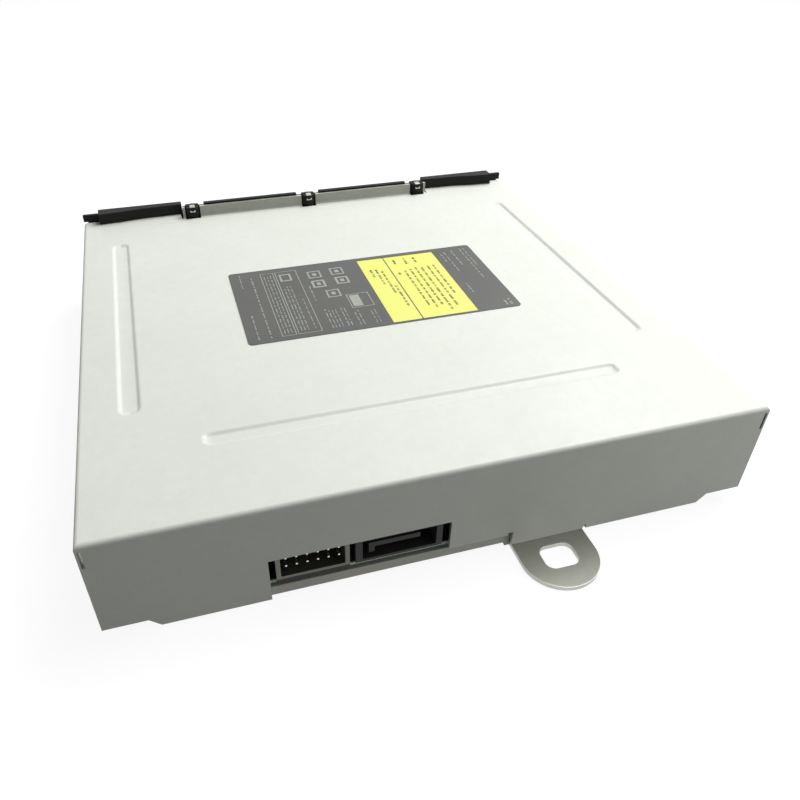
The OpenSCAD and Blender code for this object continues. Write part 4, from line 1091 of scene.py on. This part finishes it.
@dataclass
class ConnectorBay:
    """The power header, the data socket and the board's edge in the rear window."""

    header_round: float = 0.12
    rim_depth: float = 0.15
    lip_z: float = 5.05
    socket_round: float = 0.1
    tip: float = 0.22
    pin_half: float = 0.25
    edge_y: float = -64.53
    edge_z: tuple[float, float] = (4.08, 4.5)
    edge_x: tuple[float, float] = (-61.0, 18.9)

    def mouldings(self) -> None:
        """Makes the header's and the socket's mouldings, with their edges rounded, and paints shade into the header's
        recess.
        """
        shroud = softened_copy("power_header", self.header_round)
        mouth = min(v.co.y for v in shroud.verts)
        cut_across(shroud, 2, [self.lip_z])
        # Past the pale rim, and below the lip, the shroud takes the dark finish: painted shade in its recess and
        # under its mouth.
        for f in shroud.faces:
            place = f.calc_center_median()
            f.material_index = int(place.y > mouth + self.rim_depth or place.z < self.lip_z)
        Making("header_shroud", ("header_plastic", "header_painted_shade"), ("power_header",)).place(shroud)
        Making("socket_shell", ("socket_plastic",), ("sata_socket",)).place(
            softened_copy("sata_socket", self.socket_round))

    def pins(self) -> None:
        """Makes the header's pins, with pointed tips at the mouth."""
        bm = softened_copy("header_pins", 0.05)
        mouth = min(v.co.y for v in bm.verts)
        for v in bm.verts:
            depth = v.co.y - mouth
            if depth > 0.12:
                continue
            nearest = min((Vector(c) for c in self.pin_axes()), key=lambda c: (c - v.co.xz).length)
            inward = (1 - depth / 0.12) * 0.45
            v.co.x += (nearest.x - v.co.x) * inward
            v.co.z += (nearest.y - v.co.z) * inward
        Making("header_pins_pointed", ("pin_metal",), ("header_pins",)).place(bm)

    @staticmethod
    def pin_axes() -> list[tuple[float, float]]:
        """X and Z of each pin's axis."""
        return [(-32.6 + 2.0 * i, z) for i in range(6) for z in (8.1, 10.1)]

    def board_edge_highlight(self) -> None:
        """Makes a pale strip just outside the board's rear face: its sawn edge, made near white as a painted
        highlight along it.
        """
        bm = bmesh.new()
        x0, x1 = self.edge_x
        z0, z1 = self.edge_z
        add_box(bm, (x0, self.edge_y, z0), (x1, self.edge_y + 0.024, z1))
        Making("board_edge_strip", ("board_edge_highlight",), slot="board_green").place(bm)

    def build(self) -> None:
        """Makes the bay's pieces."""
        self.mouldings()
        self.pins()
        self.board_edge_highlight()


@dataclass
class Chassis:
    """The lower sheet with its mounting tab, and the loader's mouldings on it."""

    sheet_round: float = 0.1
    frame_round: float = 0.12
    tab_y: float = -66.3

    def build(self) -> None:
        """Makes the chassis and the loader frame, with their edges rounded, and gives the tab's edges the bright cut
        steel: bare metal, and a painted highlight along the tab.
        """
        sheet = softened_copy("bottom_chassis", self.sheet_round)
        sheet.normal_update()
        # The tab's edge and bevel faces take the brighter cut steel: bare metal, and a painted highlight along the
        # tab.
        for f in sheet.faces:
            f.material_index = int(f.calc_center_median().y < self.tab_y and abs(f.normal.z) < 0.98)
        Making("chassis_sheet", ("chassis_steel", "cut_steel_and_highlight"), ("bottom_chassis",)).place(sheet)
        Making("loader_moulding", ("frame_plastic",), ("loader_frame",)).place(
            softened_copy("loader_frame", self.frame_round))


@dataclass
class FeedScrew:
    """The pickup's feed screw, with its thread."""

    pitch: float = 3.0
    depth: float = 0.28
    turns_of_cuts: int = 10
    sides: int = 20

    def build(self) -> None:
        """Makes the screw along its own axis, and lays it on the CAD screw's axis."""
        node = frame["nodes"]["lead_screw"]
        joint = next(j for j in frame["joints"] if j["name"] == "feed_screw_spin")
        axis = Vector(joint["axis"]).normalized()
        origin = Vector(joint["pos_m"]) / MM
        along = [(v.co / MM - origin).dot(axis) for v in node.data.vertices]
        start, end = min(along), max(along)
        radius = max(((v.co / MM - origin) - axis * (v.co / MM - origin).dot(axis)).length
                     for v in node.data.vertices)
        bm = bmesh.new()
        bmesh.ops.create_circle(bm, cap_ends=True, segments=self.sides, radius=radius)
        steps = int((end - start) / self.pitch * self.turns_of_cuts)
        faces = bm.faces[:]
        for i in range(steps):
            grown = bmesh.ops.extrude_face_region(bm, geom=faces)["geom"]
            if i:
                bmesh.ops.delete(bm, geom=faces, context="FACES_ONLY")
            ring = [g for g in grown if isinstance(g, bmesh.types.BMVert)]
            faces = [g for g in grown if isinstance(g, bmesh.types.BMFace)]
            bmesh.ops.translate(bm, vec=(0, 0, (end - start) / steps), verts=ring)
        for v in bm.verts:
            if not 1.5 < v.co.z < end - start - 3.5:
                continue
            phase = math.atan2(v.co.y, v.co.x) / (2 * math.pi) - v.co.z / self.pitch
            wave = abs((phase % 1.0) - 0.5) * 2
            cut = 1 - self.depth / radius * smooth_step((0.62 - wave) / 0.3)
            v.co.x *= cut
            v.co.y *= cut
        bmesh.ops.recalc_face_normals(bm, faces=bm.faces[:])
        turn = axis.to_track_quat("Z", "Y").to_matrix().to_4x4()
        bmesh.ops.transform(bm, matrix=Matrix.Translation(origin + axis * start) @ turn, verts=bm.verts[:])
        Making("feed_screw_thread", ("shaft_steel",), ("lead_screw",), "feed_screw", 40.0).place(bm)


def dress_nodes() -> None:
    """Gives every CAD node that still shows the finish of its material slot."""
    for row in frame["record"]["subparts"]:
        node = frame["nodes"][row["node"]]
        node.data.materials.clear()
        node.data.materials.append(FINISHES[row["material_slot"]].material())
        LOG.info("%s: finish %s", row["node"], row["material_slot"])


# Studio


@dataclass
class Studio:
    """The camera at the photograph's angle, a pale floor and soft light."""

    eye: tuple[float, float, float] = (-43.02, -154.40, 112.2)
    right: tuple[float, float, float] = (0.95897, -0.28345, 0.00512)
    up: tuple[float, float, float] = (0.1700, 0.5894, 0.7897)
    lens: float = 32.957
    shift: tuple[float, float] = (0.03346, 0.01844)
    floor_z: float = -0.06
    diffuse_world: float = 0.15
    key_watts: float = 4.2
    back_watts: float = 0.43
    fill_watts: float = 0.35

    def camera(self) -> None:
        """Makes the camera."""
        data = bpy.data.cameras.new("camera")
        data.lens = self.lens
        data.sensor_width = 36.0
        data.shift_x, data.shift_y = self.shift
        data.clip_start = 0.01
        camera = bpy.data.objects.new("camera", data)
        bpy.context.scene.collection.objects.link(camera)
        right = Vector(self.right).normalized()
        up = (Vector(self.up) - right * right.dot(Vector(self.up))).normalized()
        back = right.cross(up)
        turn = Matrix((right, up, back)).transposed().to_4x4()
        camera.matrix_world = Matrix.Translation(Vector(self.eye) * MM) @ turn
        bpy.context.scene.camera = camera

    def lamp(self, name: str, place: Sequence[float], target: Sequence[float], size: float, watts: float) -> None:
        """Makes a square soft lamp.

        Args:
            name: Its name.
            place: Where it stands, in metres.
            target: What it points at, in metres.
            size: Its side in metres.
            watts: Its power.
        """
        data = bpy.data.lights.new(name, "AREA")
        data.shape = "SQUARE"
        data.size = size
        data.energy = watts
        lamp = bpy.data.objects.new(name, data)
        bpy.context.scene.collection.objects.link(lamp)
        away = Vector(target) - Vector(place)
        lamp.matrix_world = Matrix.Translation(Vector(place)) @ away.to_track_quat("-Z", "Y").to_matrix().to_4x4()

    @staticmethod
    def shown_ray(tree: bpy.types.NodeTree) -> bpy.types.NodeSocket:
        """A value of 1 for rays from the camera, or from gloss and glass, and 0 for the rest."""
        path = tree.nodes.new("ShaderNodeLightPath")
        either = tree.nodes.new("ShaderNodeMath")
        either.operation = "MAXIMUM"
        tree.links.new(path.outputs["Is Camera Ray"], either.inputs[0])
        tree.links.new(path.outputs["Is Glossy Ray"], either.inputs[1])
        any_of = tree.nodes.new("ShaderNodeMath")
        any_of.operation = "MAXIMUM"
        tree.links.new(either.outputs["Value"], any_of.inputs[0])
        tree.links.new(path.outputs["Is Transmission Ray"], any_of.inputs[1])
        return any_of.outputs["Value"]

    def world(self) -> None:
        """Makes the world: white where it is seen, and dimmer where it lights."""
        world = bpy.data.worlds.new("studio")
        bpy.context.scene.world = world
        world.use_nodes = True
        tree = world.node_tree
        tree.nodes.clear()
        lit = tree.nodes.new("ShaderNodeBackground")
        lit.inputs["Color"].default_value = (1.0, 1.0, 1.0, 1.0)
        lit.inputs["Strength"].default_value = self.diffuse_world
        seen = tree.nodes.new("ShaderNodeBackground")
        seen.inputs["Color"].default_value = (1.0, 1.0, 1.0, 1.0)
        seen.inputs["Strength"].default_value = 1.0
        mix = tree.nodes.new("ShaderNodeMixShader")
        result = tree.nodes.new("ShaderNodeOutputWorld")
        tree.links.new(self.shown_ray(tree), mix.inputs["Fac"])
        tree.links.new(lit.outputs["Background"], mix.inputs[1])
        tree.links.new(seen.outputs["Background"], mix.inputs[2])
        tree.links.new(mix.outputs["Shader"], result.inputs["Surface"])

    def floor(self) -> None:
        """Makes the pale floor, which keeps the object's shadow."""
        bm = bmesh.new()
        bmesh.ops.create_grid(bm, x_segments=1, y_segments=1, size=3.0,
                              matrix=Matrix.Translation((0, 0, self.floor_z * MM)))
        mesh = bpy.data.meshes.new("floor")
        bm.to_mesh(mesh)
        bm.free()
        pale = bpy.data.materials.new("floor_pale")
        pale.use_nodes = True
        tree = pale.node_tree
        tree.nodes.clear()
        dim = tree.nodes.new("ShaderNodeBsdfDiffuse")
        dim.inputs["Color"].default_value = paint(66, 66, 65)
        bright = tree.nodes.new("ShaderNodeBsdfDiffuse")
        bright.inputs["Color"].default_value = paint(120, 120, 120)
        glow = tree.nodes.new("ShaderNodeEmission")
        glow.inputs["Strength"].default_value = 0.9
        both = tree.nodes.new("ShaderNodeAddShader")
        mix = tree.nodes.new("ShaderNodeMixShader")
        result = tree.nodes.new("ShaderNodeOutputMaterial")
        tree.links.new(bright.outputs["BSDF"], both.inputs[0])
        tree.links.new(glow.outputs["Emission"], both.inputs[1])
        tree.links.new(self.shown_ray(tree), mix.inputs["Fac"])
        tree.links.new(dim.outputs["BSDF"], mix.inputs[1])
        tree.links.new(both.outputs["Shader"], mix.inputs[2])
        tree.links.new(mix.outputs["Shader"], result.inputs["Surface"])
        mesh.materials.append(pale)
        floor = bpy.data.objects.new("floor", mesh)
        bpy.context.scene.collection.objects.link(floor)

    def build(self) -> None:
        """Makes the studio."""
        bpy.context.scene.view_settings.view_transform = "Standard"
        self.camera()
        self.world()
        self.floor()
        self.lamp("key", (0.30, 0.15, 0.50), (0.02, 0.0, 0.02), 0.45, self.key_watts)
        self.lamp("back", (-0.1, 0.7, 0.5), (0.0, 0.0, 0.02), 0.7, self.back_watts)
        self.lamp("fill", (0.30, -0.25, 0.12), (0.05, -0.066, 0.01), 0.2, self.fill_watts)


def main() -> None:
    """Builds the studio and every piece, and reports each."""
    logging.basicConfig(level=logging.INFO, format="%(name)s: %(message)s")
    Studio().build()
    dress_nodes()
    for assembly in (CoverSheet(), RatingLabel(), SlotBezel(), ConnectorBay(), Chassis(), FeedScrew()):
        assembly.build()


if __name__ == "__main__":
    main()
